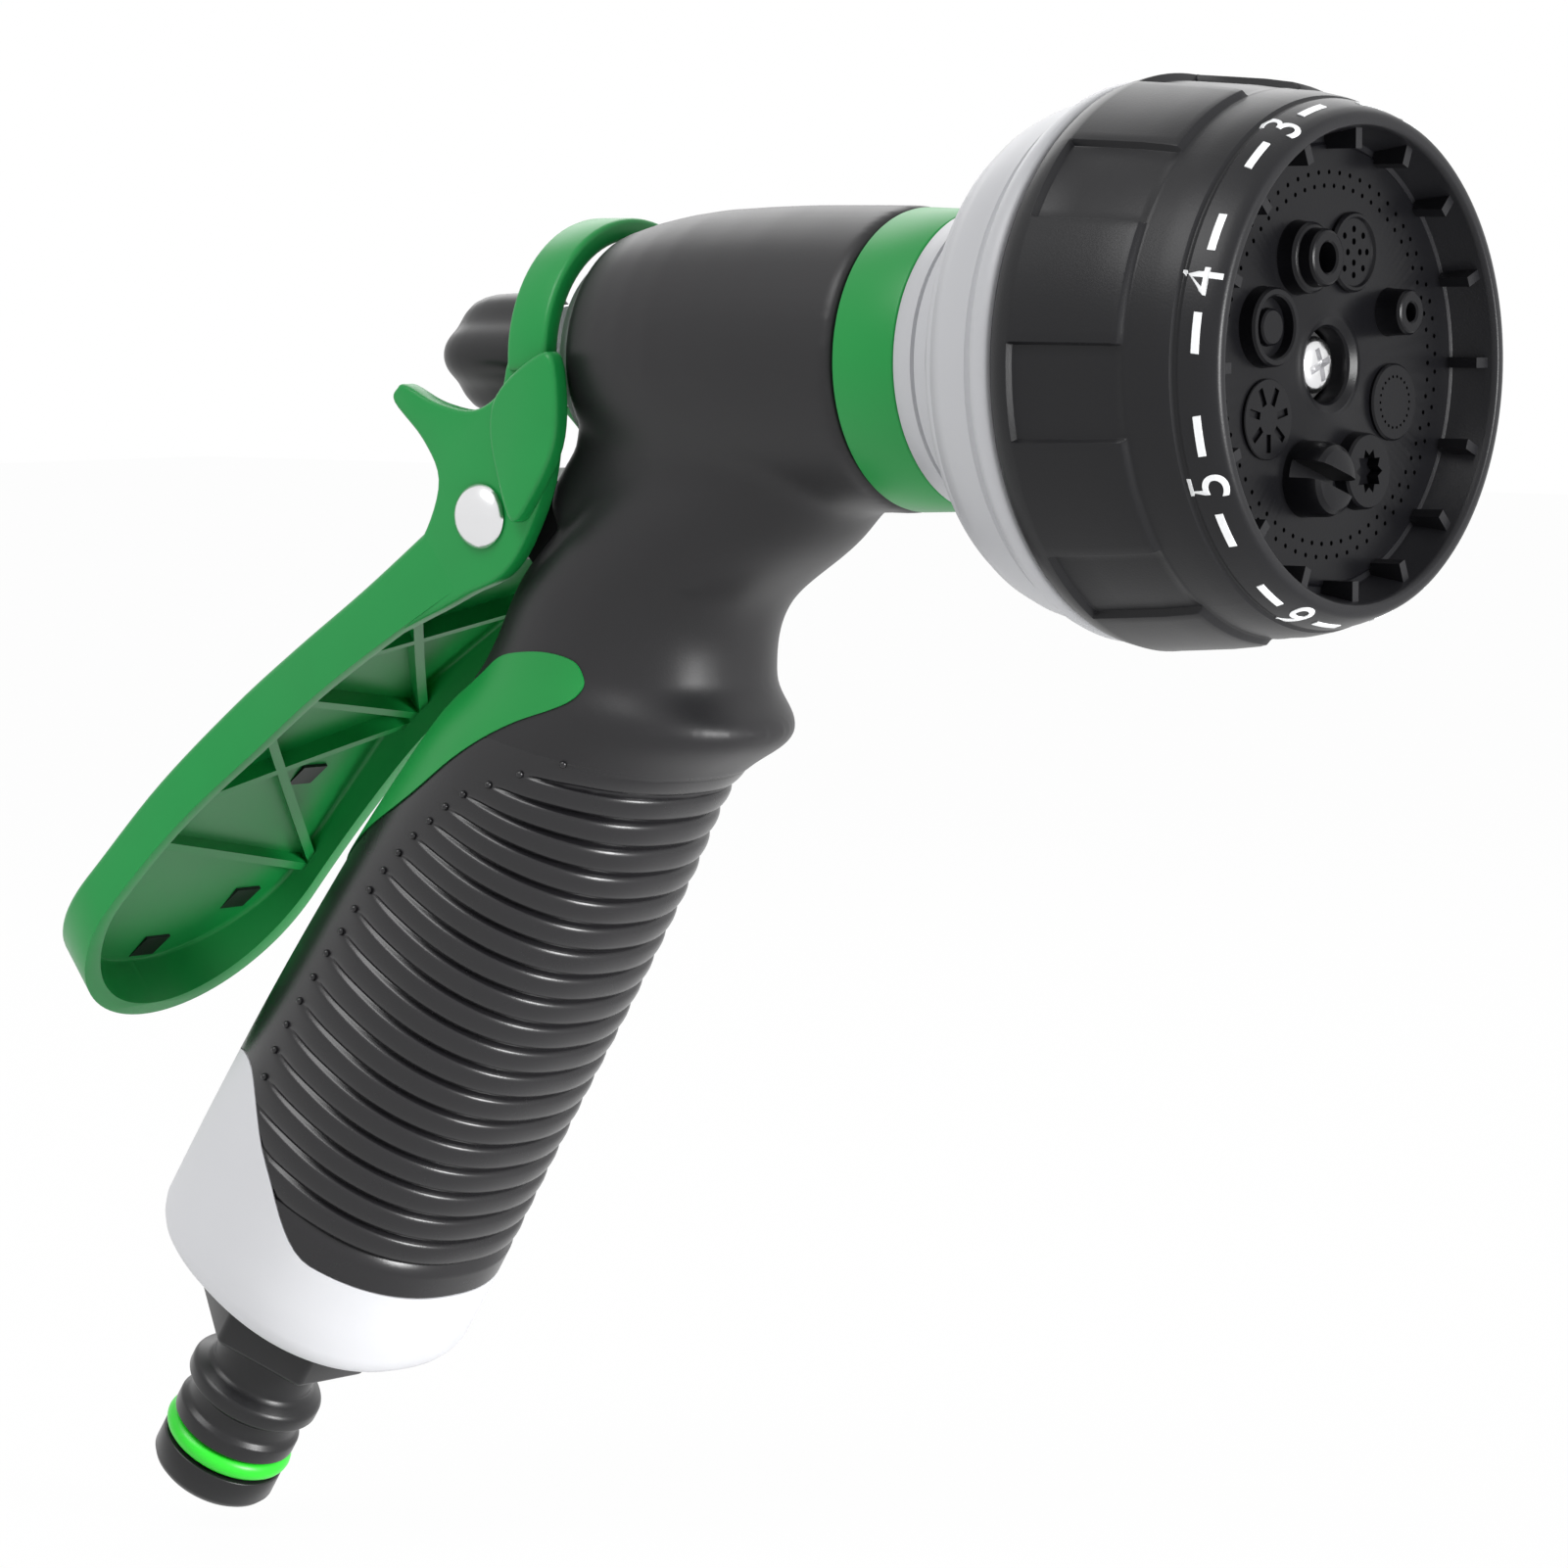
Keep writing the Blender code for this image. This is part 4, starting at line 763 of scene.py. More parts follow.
    def build(self) -> None:
        """Model and dress the whole cover."""
        seam = SHAPE.place(self.first_groove + self.groove_pitch * (self.grooves - self.seam_groove))
        ribbed = self.build_ribbed(seam)
        Bench.merge(ribbed, self.build_pips())
        Bench.soften(ribbed, angle=50.0)
        seat(dress(ribbed, RIB_BLACK), Body.BODY, Slot.SOFT_BLACK, "grip_overmould")
        upper = self.build_upper(seam)
        Bench.soften(upper, angle=60.0)
        seat(dress(upper, SOFT_BLACK), Body.BODY, Slot.SOFT_BLACK)


@dataclass
class Trim:
    """The green ring and saddle and the pale collar."""

    ring_profile: Profile = ((-0.0314, 0.0150), (-0.0314, 0.0167), (-0.0233, 0.0164), (-0.0233, 0.0150))
    saddle_outline: Profile = (
        (0.0039, 0.1267), (0.0005, 0.1254), (-0.0031, 0.1229), (-0.0063, 0.1198), (-0.0087, 0.1153),
        (-0.0130, 0.1090), (-0.0240, 0.1000), (-0.0240, 0.0740), (-0.0180, 0.0800), (-0.0135, 0.0890),
        (-0.0091, 0.0966), (-0.0067, 0.1013), (-0.0040, 0.1073), (-0.0012, 0.1125), (0.0017, 0.1168),
        (0.0049, 0.1207), (0.0065, 0.1231), (0.0068, 0.1250), (0.0059, 0.1261))
    saddle_proud: float = 0.00022
    saddle_first: float = 2.2
    saddle_step: float = 0.02
    saddle_rows: int = 275
    saddle_reach: float = 0.03
    # rise over the collar's bottom and depth under the handle's skin
    collar_foot: Profile = (
        (0.0, 0.0080), (0.0, 0.0030), (0.0002, 0.0021), (0.0006, 0.0013), (0.0012, 0.0007),
        (0.0020, 0.0003), (0.0032, 0.0), (0.0070, 0.0), (0.0100, 0.0))
    collar_shares: tuple[float, ...] = (0.25, 0.5, 0.75, 1.0)
    collar_lap: float = 0.0020

    def build(self, grip: Grip) -> None:
        """Model and dress the trim.

        Args:
            grip: Cover whose lower edge the collar meets.
        """
        ring = Bench.turn("neck_ring_green", self.ring_profile, BARREL, 128, closed=True)
        Bench.soften(ring, 0.0003)
        seat(dress(ring, RING_GREEN), Body.BODY, Slot.GREEN, "neck_ring")
        rows = [SHAPE.ring(self.saddle_step * i + self.saddle_first, -self.saddle_proud)
                for i in range(self.saddle_rows)]
        saddle = Bench.skin("saddle_green", rows, HANDLE)
        leaf = Bench.slab("saddle_leaf", Bench.curve(self.saddle_outline, 4), -self.saddle_reach,
                          self.saddle_reach, HANDLE)
        Bench.combine(saddle, "INTERSECT", leaf)
        Bench.soften(saddle, angle=40.0)
        seat(dress(saddle, RING_GREEN), Body.BODY, Slot.GREEN, "handle_saddle")
        self.build_collar(grip)

    def build_collar(self, grip: Grip) -> None:
        """Model the pale collar at the handle's foot."""
        base = grip.collar_bottom
        top = self.collar_foot[-1][0]
        rings = [SHAPE.level(lambda _, at=base + up: at, inset) for up, inset in self.collar_foot]
        for share in self.collar_shares:
            rings.append(SHAPE.level(lambda angle, part=share: base + top
                                     + (grip.collar_edge(angle) - base - top) * part))
        rings.append(SHAPE.level(grip.collar_edge, self.collar_lap))
        collar = Bench.skin("collar_pale", rings, HANDLE)
        Bench.soften(collar, angle=35.0)
        seat(dress(collar, PALE_WHITE), Body.BODY, Slot.GREY, "handle_collar")


@dataclass
class Connector:
    """The quick-connect nipple with its O-ring."""

    hex_bottom: float = 0.0225
    hex_top: float = 0.0307
    hex_radius: float = 0.0112
    hex_round: float = 0.0007
    o_ring_station: float = 0.0062
    o_ring_radius: float = 0.0081
    o_ring_wire: float = 0.0013
    o_ring_steps: int = 20
    nipple: Profile = (
        (0.0070, 0.0045), (0.0004, 0.0045), (0.0, 0.0049), (0.0, 0.0062), (0.0002, 0.0068),
        (0.0007, 0.0074), (0.0014, 0.0078), (0.0046, 0.0078), (0.0046, 0.0052), (0.0078, 0.0052),
        (0.0078, 0.0078), (0.0098, 0.0078), (0.0103, 0.0072), (0.0106, 0.0070), (0.0126, 0.0070),
        (0.0130, 0.0074), (0.0134, 0.0082), (0.0138, 0.0084), (0.0152, 0.0084), (0.0157, 0.0080),
        (0.0162, 0.0070), (0.0168, 0.0064), (0.0213, 0.0064), (0.0219, 0.0068), (0.0225, 0.0080),
        (0.0250, 0.0080), (0.0250, 0.0045))

    def build(self) -> None:
        """Model and dress the connector and its O-ring."""
        nipple = Bench.turn("connector_nipple", self.nipple, HANDLE, 96, closed=True)
        Bench.soften(nipple, 0.00025)
        Bench.clear()
        bpy.ops.mesh.primitive_cylinder_add(
            vertices=6, radius=self.hex_radius, depth=self.hex_top - self.hex_bottom,
            location=(0.0, 0.0, 0.5 * (self.hex_top + self.hex_bottom)))
        hexagon = Bench.settle(bpy.context.object, HANDLE)
        Bench.soften(hexagon, self.hex_round)
        Bench.merge(nipple, [hexagon])
        Bench.soften(nipple)
        seat(dress(nipple, HARD_BLACK), Body.BODY, Slot.BLACK, "hose_connector")
        middle = self.o_ring_radius - self.o_ring_wire
        wire = [(self.o_ring_station + self.o_ring_wire * math.sin(angle),
                 middle + self.o_ring_wire * math.cos(angle)) for angle in full_turn(self.o_ring_steps)]
        o_ring = Bench.turn("connector_seal_green", wire, HANDLE, 96, closed=True)
        Bench.soften(o_ring, angle=60.0)
        seat(dress(o_ring, BRIGHT_GREEN), Body.BODY, Slot.BRIGHT_GREEN, "connector_o_ring")


@dataclass
class Dial:
    """The turning head, along the barrel from the ring's rear: grip ring, numbers, spray face and screw."""

    positions: int = 8
    first: float = math.radians(26.0)
    recess_turn: float = math.radians(5.0)
    recess_half: float = math.radians(9.4)
    recess_wall: float = math.radians(0.45)
    recess_depth: float = 0.0008
    recess_steps: int = 8
    land_steps: int = 11
    ring_round: float = 0.00016
    # station, radius and share of the recess's depth, over the outside and back through the inside
    section: tuple[tuple[float, float, float], ...] = (
        (0.0000, 0.0276, 0.0), (0.0000, 0.0293, 0.0), (0.0003, 0.0298, 0.0), (0.0009, 0.0302, 0.0),
        (0.0018, 0.0304, 0.0), (0.0029, 0.0306, 0.0), (0.0032, 0.03058, 1.0), (0.0075, 0.0303, 1.0),
        (0.0118, 0.0300, 1.0), (0.0152, 0.0296, 1.0), (0.0160, 0.0294, 0.9), (0.0163, 0.0290, 0.3),
        (0.0165, 0.0287, 0.0), (0.0168, 0.02865, 0.0), (0.0190, 0.0285, 0.0), (0.0210, 0.0281, 0.0),
        (0.0216, 0.0279, 0.0), (0.0219, 0.0275, 0.0), (0.0222, 0.0275, 0.0), (0.0225, 0.0276, 0.0),
        (0.0236, 0.0273, 0.0), (0.0250, 0.0268, 0.0), (0.0261, 0.0263, 0.0), (0.0264, 0.0260, 0.0),
        (0.0265, 0.0256, 0.0), (0.0265, 0.0250, 0.0), (0.0263, 0.0248, 0.0), (0.0258, 0.0246, 0.0),
        (0.0214, 0.0238, 0.0), (0.0214, 0.0222, 0.0),
        (0.0196, 0.0222, 0.0), (0.0196, 0.0274, 0.0))
    wall_ribs: int = 16
    rib_size: Vector = Vector((0.0028, 0.0011, 0.0040))
    rib_middle: tuple[float, float] = (0.0238, 0.0234)
    face: float = 0.0217
    outlet_circle: float = 0.0124
    plate: Profile = (
        (0.0190, 0.0040), (0.0213, 0.0040), (0.0216, 0.0042), (0.0218, 0.0046), (0.0220, 0.0050),
        (0.0219, 0.0055), (0.0217, 0.0060), (0.0217, 0.0228), (0.0215, 0.0231), (0.0190, 0.0231))
    mist_rings: tuple[tuple[float, int], ...] = ((0.0186, 66), (0.0200, 66))
    mist_hole: float = 0.00026
    mist_depth: float = 0.0010
    # height over the face and radius of each outlet's boss, from its foot to its middle
    bosses: tuple[Profile, ...] = (
        ((-0.0003, 0.0027), (0.0002, 0.0025), (0.0026, 0.0024), (0.0029, 0.0022), (0.0030, 0.0020),
         (0.0030, 0.0012), (0.0028, 0.0010), (0.0003, 0.0010)),
        ((-0.0003, 0.0042), (0.0004, 0.0042), (0.0007, 0.0040), (0.0007, 0.0037), (0.0004, 0.0035)),
        ((-0.0003, 0.0040), (0.0003, 0.0038), (0.0017, 0.0037), (0.0020, 0.0034), (0.0021, 0.0031),
         (0.0034, 0.0030), (0.0037, 0.0028), (0.0038, 0.0026), (0.0038, 0.0018), (0.0036, 0.0016),
         (0.0003, 0.0015)),
        ((-0.0003, 0.0043), (0.0002, 0.0042), (0.0015, 0.0041), (0.0018, 0.0039), (0.0018, 0.0034),
         (0.0016, 0.0032), (0.0005, 0.0031), (0.0005, 0.0020), (0.0011, 0.0019), (0.0013, 0.0017)),
        ((-0.0003, 0.0042), (0.0003, 0.0042), (0.0004, 0.0041)),
        ((-0.0003, 0.0041), (0.0002, 0.0040), (0.0030, 0.0039), (0.0038, 0.0036), (0.0042, 0.0031),
         (0.0044, 0.0022)),
        ((-0.0003, 0.0042), (0.0002, 0.0041), (0.0013, 0.0040), (0.0016, 0.0038)),
        ((-0.0003, 0.0041), (0.0003, 0.0041), (0.0005, 0.0039)))
    # outlet, height of its holes' mouths, their circles and numbers, and their radius and depth
    drillings: tuple[tuple, ...] = (
        (1, 0.0004, ((0.0024, 8), (0.0011, 4)), 0.00036, 0.0006),
        (7, 0.0005, ((0.0027, 22),), 0.00017, 0.0005))
    # outlet, size and middle of its slots, their number and the turn of the first
    slots: tuple[tuple, ...] = (
        (4, (0.0019, 0.0008, 0.0012), (0.0025, 0.0, 0.0003), 7, 0.0),
        (5, (0.0019, 0.0120, 0.0080), (0.0, 0.0, 0.0048), 1, math.radians(-18.0)))
    star: int = 6
    star_points: int = 20
    star_radii: tuple[float, float] = (0.0017, 0.0024)
    star_heights: tuple[float, float] = (0.0002, 0.0030)
    number_size: float = 0.0064
    number_station: float = 0.0242
    number_slope: float = math.radians(21.0)
    number_thick: float = 0.00006
    number_bar: tuple[float, float] = (0.0042, 0.0008)
    number_gap: float = 0.0033
    number_lift: float = 0.00003
    bezel_end: int = 24
    screw: Profile = (
        (0.0190, 0.0), (0.0190, 0.0030), (0.0199, 0.0030), (0.0203, 0.0028), (0.0206, 0.0024),
        (0.0208, 0.0017), (0.0209, 0.0))
    screw_slot: Vector = Vector((0.0036, 0.0008, 0.0024))
    screw_turns: tuple[float, float] = (math.radians(20.0), math.radians(110.0))
    screw_round: float = 0.0001

    def ring_at(self, angle: float, share: float) -> Ring:
        """Return the ring's section at an angle, with a share of the recess's depth taken off."""
        return [around(radius - self.recess_depth * share * deep, angle, along)
                for along, radius, deep in self.section]

    def build_ring(self) -> bpy.types.Object:
        """Model the grip ring with its recesses and the ribbed inner wall."""
        rows: list[tuple[float, float]] = []
        step = math.tau / self.positions
        for k in range(self.positions):
            middle = self.recess_turn + step * k
            edge = self.recess_half
            rows += [(middle - edge + 2.0 * edge * i / self.recess_steps, 1.0)
                     for i in range(self.recess_steps + 1)]
            start, end = middle + edge + self.recess_wall, middle + step - edge - self.recess_wall
            rows += [(start + (end - start) * i / self.land_steps, 0.0)
                     for i in range(self.land_steps + 1)]
        piece = Bench.skin("dial_grip_ring", [self.ring_at(*row) for row in rows], BARREL, cyclic=True)
        Bench.soften(piece, self.ring_round, 2, 38.0)
        radius, along = self.rib_middle
        Bench.merge(piece, [
            Bench.box(f"dial_wall_rib_{k}", self.rib_size, Vector((radius, 0.0, along)),
                      BARREL @ Matrix.Rotation(angle, 4, "Z"))
            for k, angle in enumerate(full_turn(self.wall_ribs))])
        return Bench.soften(piece)

    def outlet(self, index: int, rise: float = 0.0) -> Vector:
        """Return the middle of an outlet on the face, at a height over it."""
        return around(self.outlet_circle, self.first + math.tau * index / self.positions, self.face + rise)

    def turned(self, index: int) -> bpy.types.Object:
        """Turn one outlet's boss, closed at its foot and its middle."""
        boss = self.bosses[index]
        profile = ((boss[0][0], 0.0), *boss, (boss[-1][0], 0.0))
        return Bench.turn(f"outlet_{index}", profile, BARREL, 40, at=self.outlet(index))

    def drilled(self, piece: bpy.types.Object, places: Sequence[Vector], radius: float,
                depth: float) -> bpy.types.Object:
        """Drill round holes into a piece.

        Args:
            piece: Piece to drill.
            places: Middles of the holes' mouths in the barrel frame.
            radius: Radius of the holes.
            depth: Depth of the holes.

        Returns:
            The same piece.
        """
        pins = []
        for at in places:
            Bench.clear()
            bpy.ops.mesh.primitive_cylinder_add(vertices=10, radius=radius, depth=2.0 * depth)
            pins.append(Bench.settle(bpy.context.object, BARREL @ Matrix.Translation(at)))
        return Bench.cut(piece, pins)

    @staticmethod
    def spots(middle: Vector, radius: float, count: int, shift: float = 0.0) -> list[Vector]:
        """Return places spaced round a circle of the barrel frame."""
        return [middle + around(radius, math.tau * (i + shift) / count, 0.0) for i in range(count)]

    def build_face(self) -> bpy.types.Object:
        """Model the spray plate with its eight outlets and the rings of mist holes."""
        plate = Bench.turn("spray_face", self.plate, BARREL, 128, closed=True)
        holes: list[Vector] = []
        for i, (radius, count) in enumerate(self.mist_rings):
            holes += self.spots(Vector((0.0, 0.0, self.face)), radius, count, 0.5 * i)
        self.drilled(plate, holes, self.mist_hole, self.mist_depth)
        bosses = [self.turned(k) for k in range(self.positions)]
        for index, rise, circles, radius, depth in self.drillings:
            places = [spot for circle in circles for spot in self.spots(self.outlet(index, rise), *circle)]
            self.drilled(bosses[index], places, radius, depth)
        for index, size, middle, count, first in self.slots:
            place = BARREL @ Matrix.Translation(self.outlet(index))
            Bench.cut(bosses[index], [
                Bench.box(f"outlet_slot_{i}", size, middle, place @ Matrix.Rotation(first + angle, 4, "Z"))
                for i, angle in enumerate(full_turn(count))])
        spokes = [(self.star_radii[i % 2], angle) for i, angle in enumerate(full_turn(self.star_points))]
        teeth = [[Vector((radius * math.cos(angle), radius * math.sin(angle), up)) for radius, angle in spokes]
                 for up in self.star_heights]
        Bench.cut(bosses[self.star], [
            Bench.skin("star_tool", teeth, BARREL @ Matrix.Translation(self.outlet(self.star)))])
        Bench.merge(plate, bosses)
        return Bench.soften(plate, angle=24.0)

    def wrap(self, piece: bpy.types.Object, index: int) -> bpy.types.Object:
        """Bend a flat label round the bezel, its top towards the rear."""
        middle = self.first + math.tau * index / self.positions
        skin = [(along, radius) for along, radius, _ in self.section[:self.bezel_end]]
        for vert in piece.data.vertices:
            along = self.number_station - vert.co.y * math.cos(self.number_slope)
            radius = table(skin, along) + self.number_lift + vert.co.z
            vert.co = BARREL @ around(radius, middle - vert.co.x / radius, along)
        return piece

    def build_number(self, index: int) -> bpy.types.Object:
        """Model one plain number between two short bars, wrapped on the bezel."""
        Bench.clear()
        bpy.ops.object.text_add()
        label = bpy.context.object
        label.data.body = str(index + 1)
        label.data.size = self.number_size
        label.data.align_x = "CENTER"
        label.data.align_y = "CENTER"
        label.data.extrude = self.number_thick
        bpy.ops.object.convert(target="MESH")
        label = bpy.context.object
        bars = []
        wide, high = self.number_bar
        for side in (-1.0, 1.0):
            Bench.clear()
            bpy.ops.mesh.primitive_grid_add(x_subdivisions=10, y_subdivisions=1, size=1.0)
            bar = bpy.context.object
            aside = side * (self.number_gap + 0.5 * wide)
            bar.matrix_world = Matrix.Translation((aside, 0.0, 0.0)) @ Matrix.Diagonal((wide, high, 1.0, 1.0))
            Bench.settle(bar, Matrix())
            bars.append(Bench.apply(bar, "SOLIDIFY", thickness=2.0 * self.number_thick, offset=0.0))
        return self.wrap(Bench.merge(label, bars), index)

    def build_screw(self) -> bpy.types.Object:
        """Model the cross-head screw that holds the dial."""
        screw = Bench.turn("dial_screw_head", self.screw, BARREL, 48)
        top = Vector((0.0, 0.0, self.screw[-1][0]))
        for angle in self.screw_turns:
            Bench.cut(screw, [Bench.box("screw_slot", self.screw_slot, top,
                                        BARREL @ Matrix.Rotation(angle, 4, "Z"))])
        return Bench.soften(screw, self.screw_round, 2)

    def build(self) -> None:
        """Model and dress the whole head."""
        seat(dress(self.build_ring(), DIAL_BLACK), Body.DIAL, Slot.BLACK, "dial_ring")
        seat(dress(self.build_face(), FACE_BLACK), Body.DIAL, Slot.BLACK, "spray_plate")
        numbers = [self.build_number(k) for k in range(self.positions)]
        Bench.merge(numbers[0], numbers[1:])
        numbers[0].name = "dial_numbers"
        seat(dress(numbers[0], PRINT), Body.DIAL, Slot.GREY)
        seat(dress(self.build_screw(), STEEL), Body.BODY, Slot.STEEL, "dial_screw")


@dataclass
class Barrel:
    """The pale dish behind the dial, the rear gland and the flow knob."""

    dish: Profile = (
        (-0.0232, 0.0150), (-0.0232, 0.0163), (-0.0230, 0.0165), (-0.0206, 0.0167), (-0.0204, 0.0162),
        (-0.0201, 0.0162), (-0.0199, 0.0169), (-0.0182, 0.0171), (-0.0180, 0.0165), (-0.0177, 0.0165),
        (-0.0175, 0.0174), (-0.0160, 0.0177), (-0.0157, 0.0171), (-0.0154, 0.0172), (-0.0150, 0.0186),
        (-0.0142, 0.0206), (-0.0133, 0.0226), (-0.0122, 0.0246), (-0.0112, 0.0259), (-0.0105, 0.0262),
        (-0.0102, 0.0262), (-0.0099, 0.0268), (-0.0080, 0.0276), (-0.0060, 0.0281), (-0.0042, 0.0284),
        (-0.0038, 0.0280), (-0.0034, 0.0280), (-0.0031, 0.0289), (-0.0026, 0.0295), (-0.0018, 0.0298),
        (-0.0006, 0.0298), (-0.0003, 0.0295), (-0.0003, 0.0262), (-0.0090, 0.0240), (-0.0150, 0.0150))
    gland: Profile = (
        (-0.0755, 0.0017), (-0.0755, 0.0108), (-0.0753, 0.0113), (-0.0749, 0.0117), (-0.0744, 0.0118),
        (-0.0727, 0.0118), (-0.0727, 0.0100), (-0.0665, 0.0100), (-0.0665, 0.0017))
    knob_front: float = -0.0852
    knob_radius: float = 0.0072
    knob_lobes: int = 4
    knob_lobe: float = 0.0007
    knob_steps: int = 96
    # step back from the knob's front and share of its radius
    knob_shape: Profile = (
        (0.0000, 0.80), (0.0002, 0.88), (0.0007, 0.95), (0.0016, 0.99), (0.0030, 1.0), (0.0070, 0.99),
        (0.0095, 0.97), (0.0110, 0.93), (0.0122, 0.87), (0.0131, 0.78), (0.0137, 0.66), (0.0140, 0.50))

    def build(self) -> None:
        """Model and dress the dish, the gland and the knob."""
        dish = Bench.turn("dish_pale", self.dish, BARREL, 160, closed=True)
        Bench.soften(dish, angle=50.0)
        seat(dress(dish, PALE_GREY), Body.BODY, Slot.GREY, "front_flange")
        gland = Bench.soften(Bench.turn("gland_pale", self.gland, BARREL, 96, closed=True))
        seat(dress(gland, PALE_GREY), Body.BODY, Slot.GREY, "rear_gland")
        rings = []
        for back, share in self.knob_shape:
            ring = []
            for angle in full_turn(self.knob_steps):
                lobe = self.knob_lobe * (math.cos(self.knob_lobes * angle) - 1.0)
                ring.append(around((self.knob_radius + lobe) * share, angle, self.knob_front - back))
            rings.append(ring)
        knob = Bench.soften(Bench.skin("knob_lobed", rings, BARREL), angle=45.0)
        seat(dress(knob, HARD_BLACK), Body.KNOB, Slot.BLACK, "flow_knob")


@dataclass
class Trigger:
    """The green lever with its hoop, leaf bosses and channel ribs, the soft pad and the rivet."""

    length: float = 0.0943
    start: float = 0.0060
    width: float = 0.0364
    end_round: float = 0.0180
    # share of the lever, share of its width, depth of the open rim and of the palm side
    form: tuple[tuple[float, float, float, float], ...] = (
        (0.064, 0.821, -0.0046, 0.0038), (0.210, 0.838, -0.0028, 0.0041), (0.350, 0.838, -0.0014, 0.0050),
        (0.480, 0.840, -0.0010, 0.0055), (0.640, 0.945, -0.0016, 0.0042), (0.800, 1.000, -0.0036, 0.0019),
        (0.900, 1.000, -0.0058, 0.0009), (1.000, 1.000, -0.0082, 0.0002))
    wall: float = 0.0018
    floor: float = 0.0018
    corner: float = 0.0009
    edge_round: float = 0.00035
    hard_edge: float = 50.0
    hollow_start: float = 0.0030
    hollow_reach: float = 0.0300
    hollow_corner: float = 0.0006
    tip_gap: float = 0.00001
    tip_half: float = 0.0003
    straight_steps: int = 30
    round_steps: int = 24
    cheek_inside: float = 0.0124
    cheek_wall: float = 0.0026
    cheek_round: float = 0.0005
    leaf_sunk: float = 0.0003
    leaf_round: float = 0.0006
    boss_height: float = 0.0021
    rib_half: float = 0.0006
    rib_sink: float = 0.40
    rib_root: float = 0.40
    rib_steps: int = 12
    # share of the lever and side where each channel rib starts and ends
    ribs: tuple[tuple[float, ...], ...] = (
        (0.147, -1, 0.470, 1), (0.345, -1, 0.200, 1), (0.415, -1, 0.480, 1), (0.455, -1, 0.780, 1),
        (0.650, -1, 0.495, 1), (0.705, -1, 0.790, 1))
    # share of the lever and place across it
    anchors: Profile = ((0.620, 0.0060), (0.862, 0.0108), (0.950, 0.0012))
    anchor_half: float = 0.0020
    anchor_proud: float = 0.0002
    anchor_root: float = 0.00005
    cheek: Profile = (
        (-0.0118, -0.0050), (-0.0086, -0.0015), (-0.0068, 0.0040), (-0.0092, 0.0085), (-0.0136, 0.0127),
        (-0.0131, 0.0144), (-0.0118, 0.0147), (-0.0072, 0.0128), (-0.0014, 0.0120), (0.0028, 0.0142),
        (0.0045, 0.0180), (0.0103, 0.0180), (0.0100, 0.0060), (0.0068, -0.0020), (0.0030, -0.0066),
        (-0.0026, -0.0090), (-0.0087, -0.0117), (-0.0166, -0.0145), (-0.0190, -0.0113))
    leaf: Profile = (
        (0.0062, -0.0004), (0.0090, 0.0020), (0.0126, 0.0080), (0.0132, 0.0140), (0.0120, 0.0186),
        (0.0080, 0.0172), (0.0040, 0.0138), (0.0030, 0.0100), (0.0040, 0.0050))
    hoop_inside: float = 0.0132
    hoop_thick: float = 0.0025
    hoop_rear: float = -0.0795
    hoop_width: float = 0.0058
    hoop_round: float = 0.0006
    hoop_from: float = -6.0
    hoop_sweep: float = 192.0
    hoop_steps: int = 48
    pad_thick: float = 0.0010
    pad_inset: float = 0.0036
    pad_end: float = 0.0020
    pad_lift: float = 0.00005
    pad_corner: float = 0.0007
    rivet: Profile = (
        (0.01505, 0.0), (0.01505, 0.0035), (0.0153, 0.0037), (0.0157, 0.0035), (0.0161, 0.0030),
        (0.01645, 0.0022), (0.01660, 0.0012), (0.01665, 0.0))

    def read(self, along: float, column: int) -> float:
        """Read one column of the lever's form as a smooth curve.

        Args:
            along: Distance from the pivot.
            column: Column of the form.

        Returns:
            The value at that distance.
        """
        share = along / self.length
        last = len(self.form) - 1
        index = max([i for i in range(last) if self.form[i][0] <= share], default=0)
        a, b, c, d = (self.form[min(max(index + k, 0), last)] for k in (-1, 0, 1, 2))
        step = min(max((share - b[0]) / (c[0] - b[0]), 0.0), 1.0)
        wide = c[0] - b[0]
        start = wide * (c[column] - a[column]) / (c[0] - a[0])
        end = wide * (d[column] - b[column]) / (d[0] - b[0])
        square, cube = step * step, step ** 3
        return ((2.0 * cube - 3.0 * square + 1.0) * b[column] + (cube - 2.0 * square + step) * start
                + (3.0 * square - 2.0 * cube) * c[column] + (cube - square) * end)

    def half(self, along: float, length: float, inset: float) -> float:
        """Return half the lever's width at a distance from the pivot."""
        half = 0.5 * self.width * self.read(along, 1) - inset
        round_from = length - self.end_round
        if along > round_from:
            half *= math.sqrt(max(1.0 - ((along - round_from) / (length - round_from)) ** 2, 0.0))
        return half

    def rim_at(self, along: float) -> float:
        """Return where the open rim lies, towards the handle."""
        return self.read(along, 2)

    def palm_at(self, along: float) -> float:
        """Return where the palm side lies."""
        return self.read(along, 3)

    def stations(self, start: float, end: float) -> list[float]:
        """Return distances along the lever, closer together at its round end."""
        bend = end - self.end_round
        straight = [start + (bend - start) * i / self.straight_steps for i in range(self.straight_steps)]
        bent = [bend + self.end_round * math.sin(0.5 * math.pi * i / self.round_steps)
                for i in range(self.round_steps)]
        return [*straight, *bent, end - self.tip_gap]

    def section(self, half: float, low: float, high: float, corner: float) -> list[tuple[float, float]]:
        """Return a box section with its palm corners rounded, as (depth, across)."""
        corner = min(corner, 0.9 * half, 0.45 * (high - low))
        right = [(high - corner + corner * math.cos(0.25 * math.pi * i / 2.0),
                  half - corner + corner * math.sin(0.25 * math.pi * i / 2.0)) for i in range(5)]
        return [(low, -half), *[(depth, -across) for depth, across in reversed(right)], *right, (low, half)]

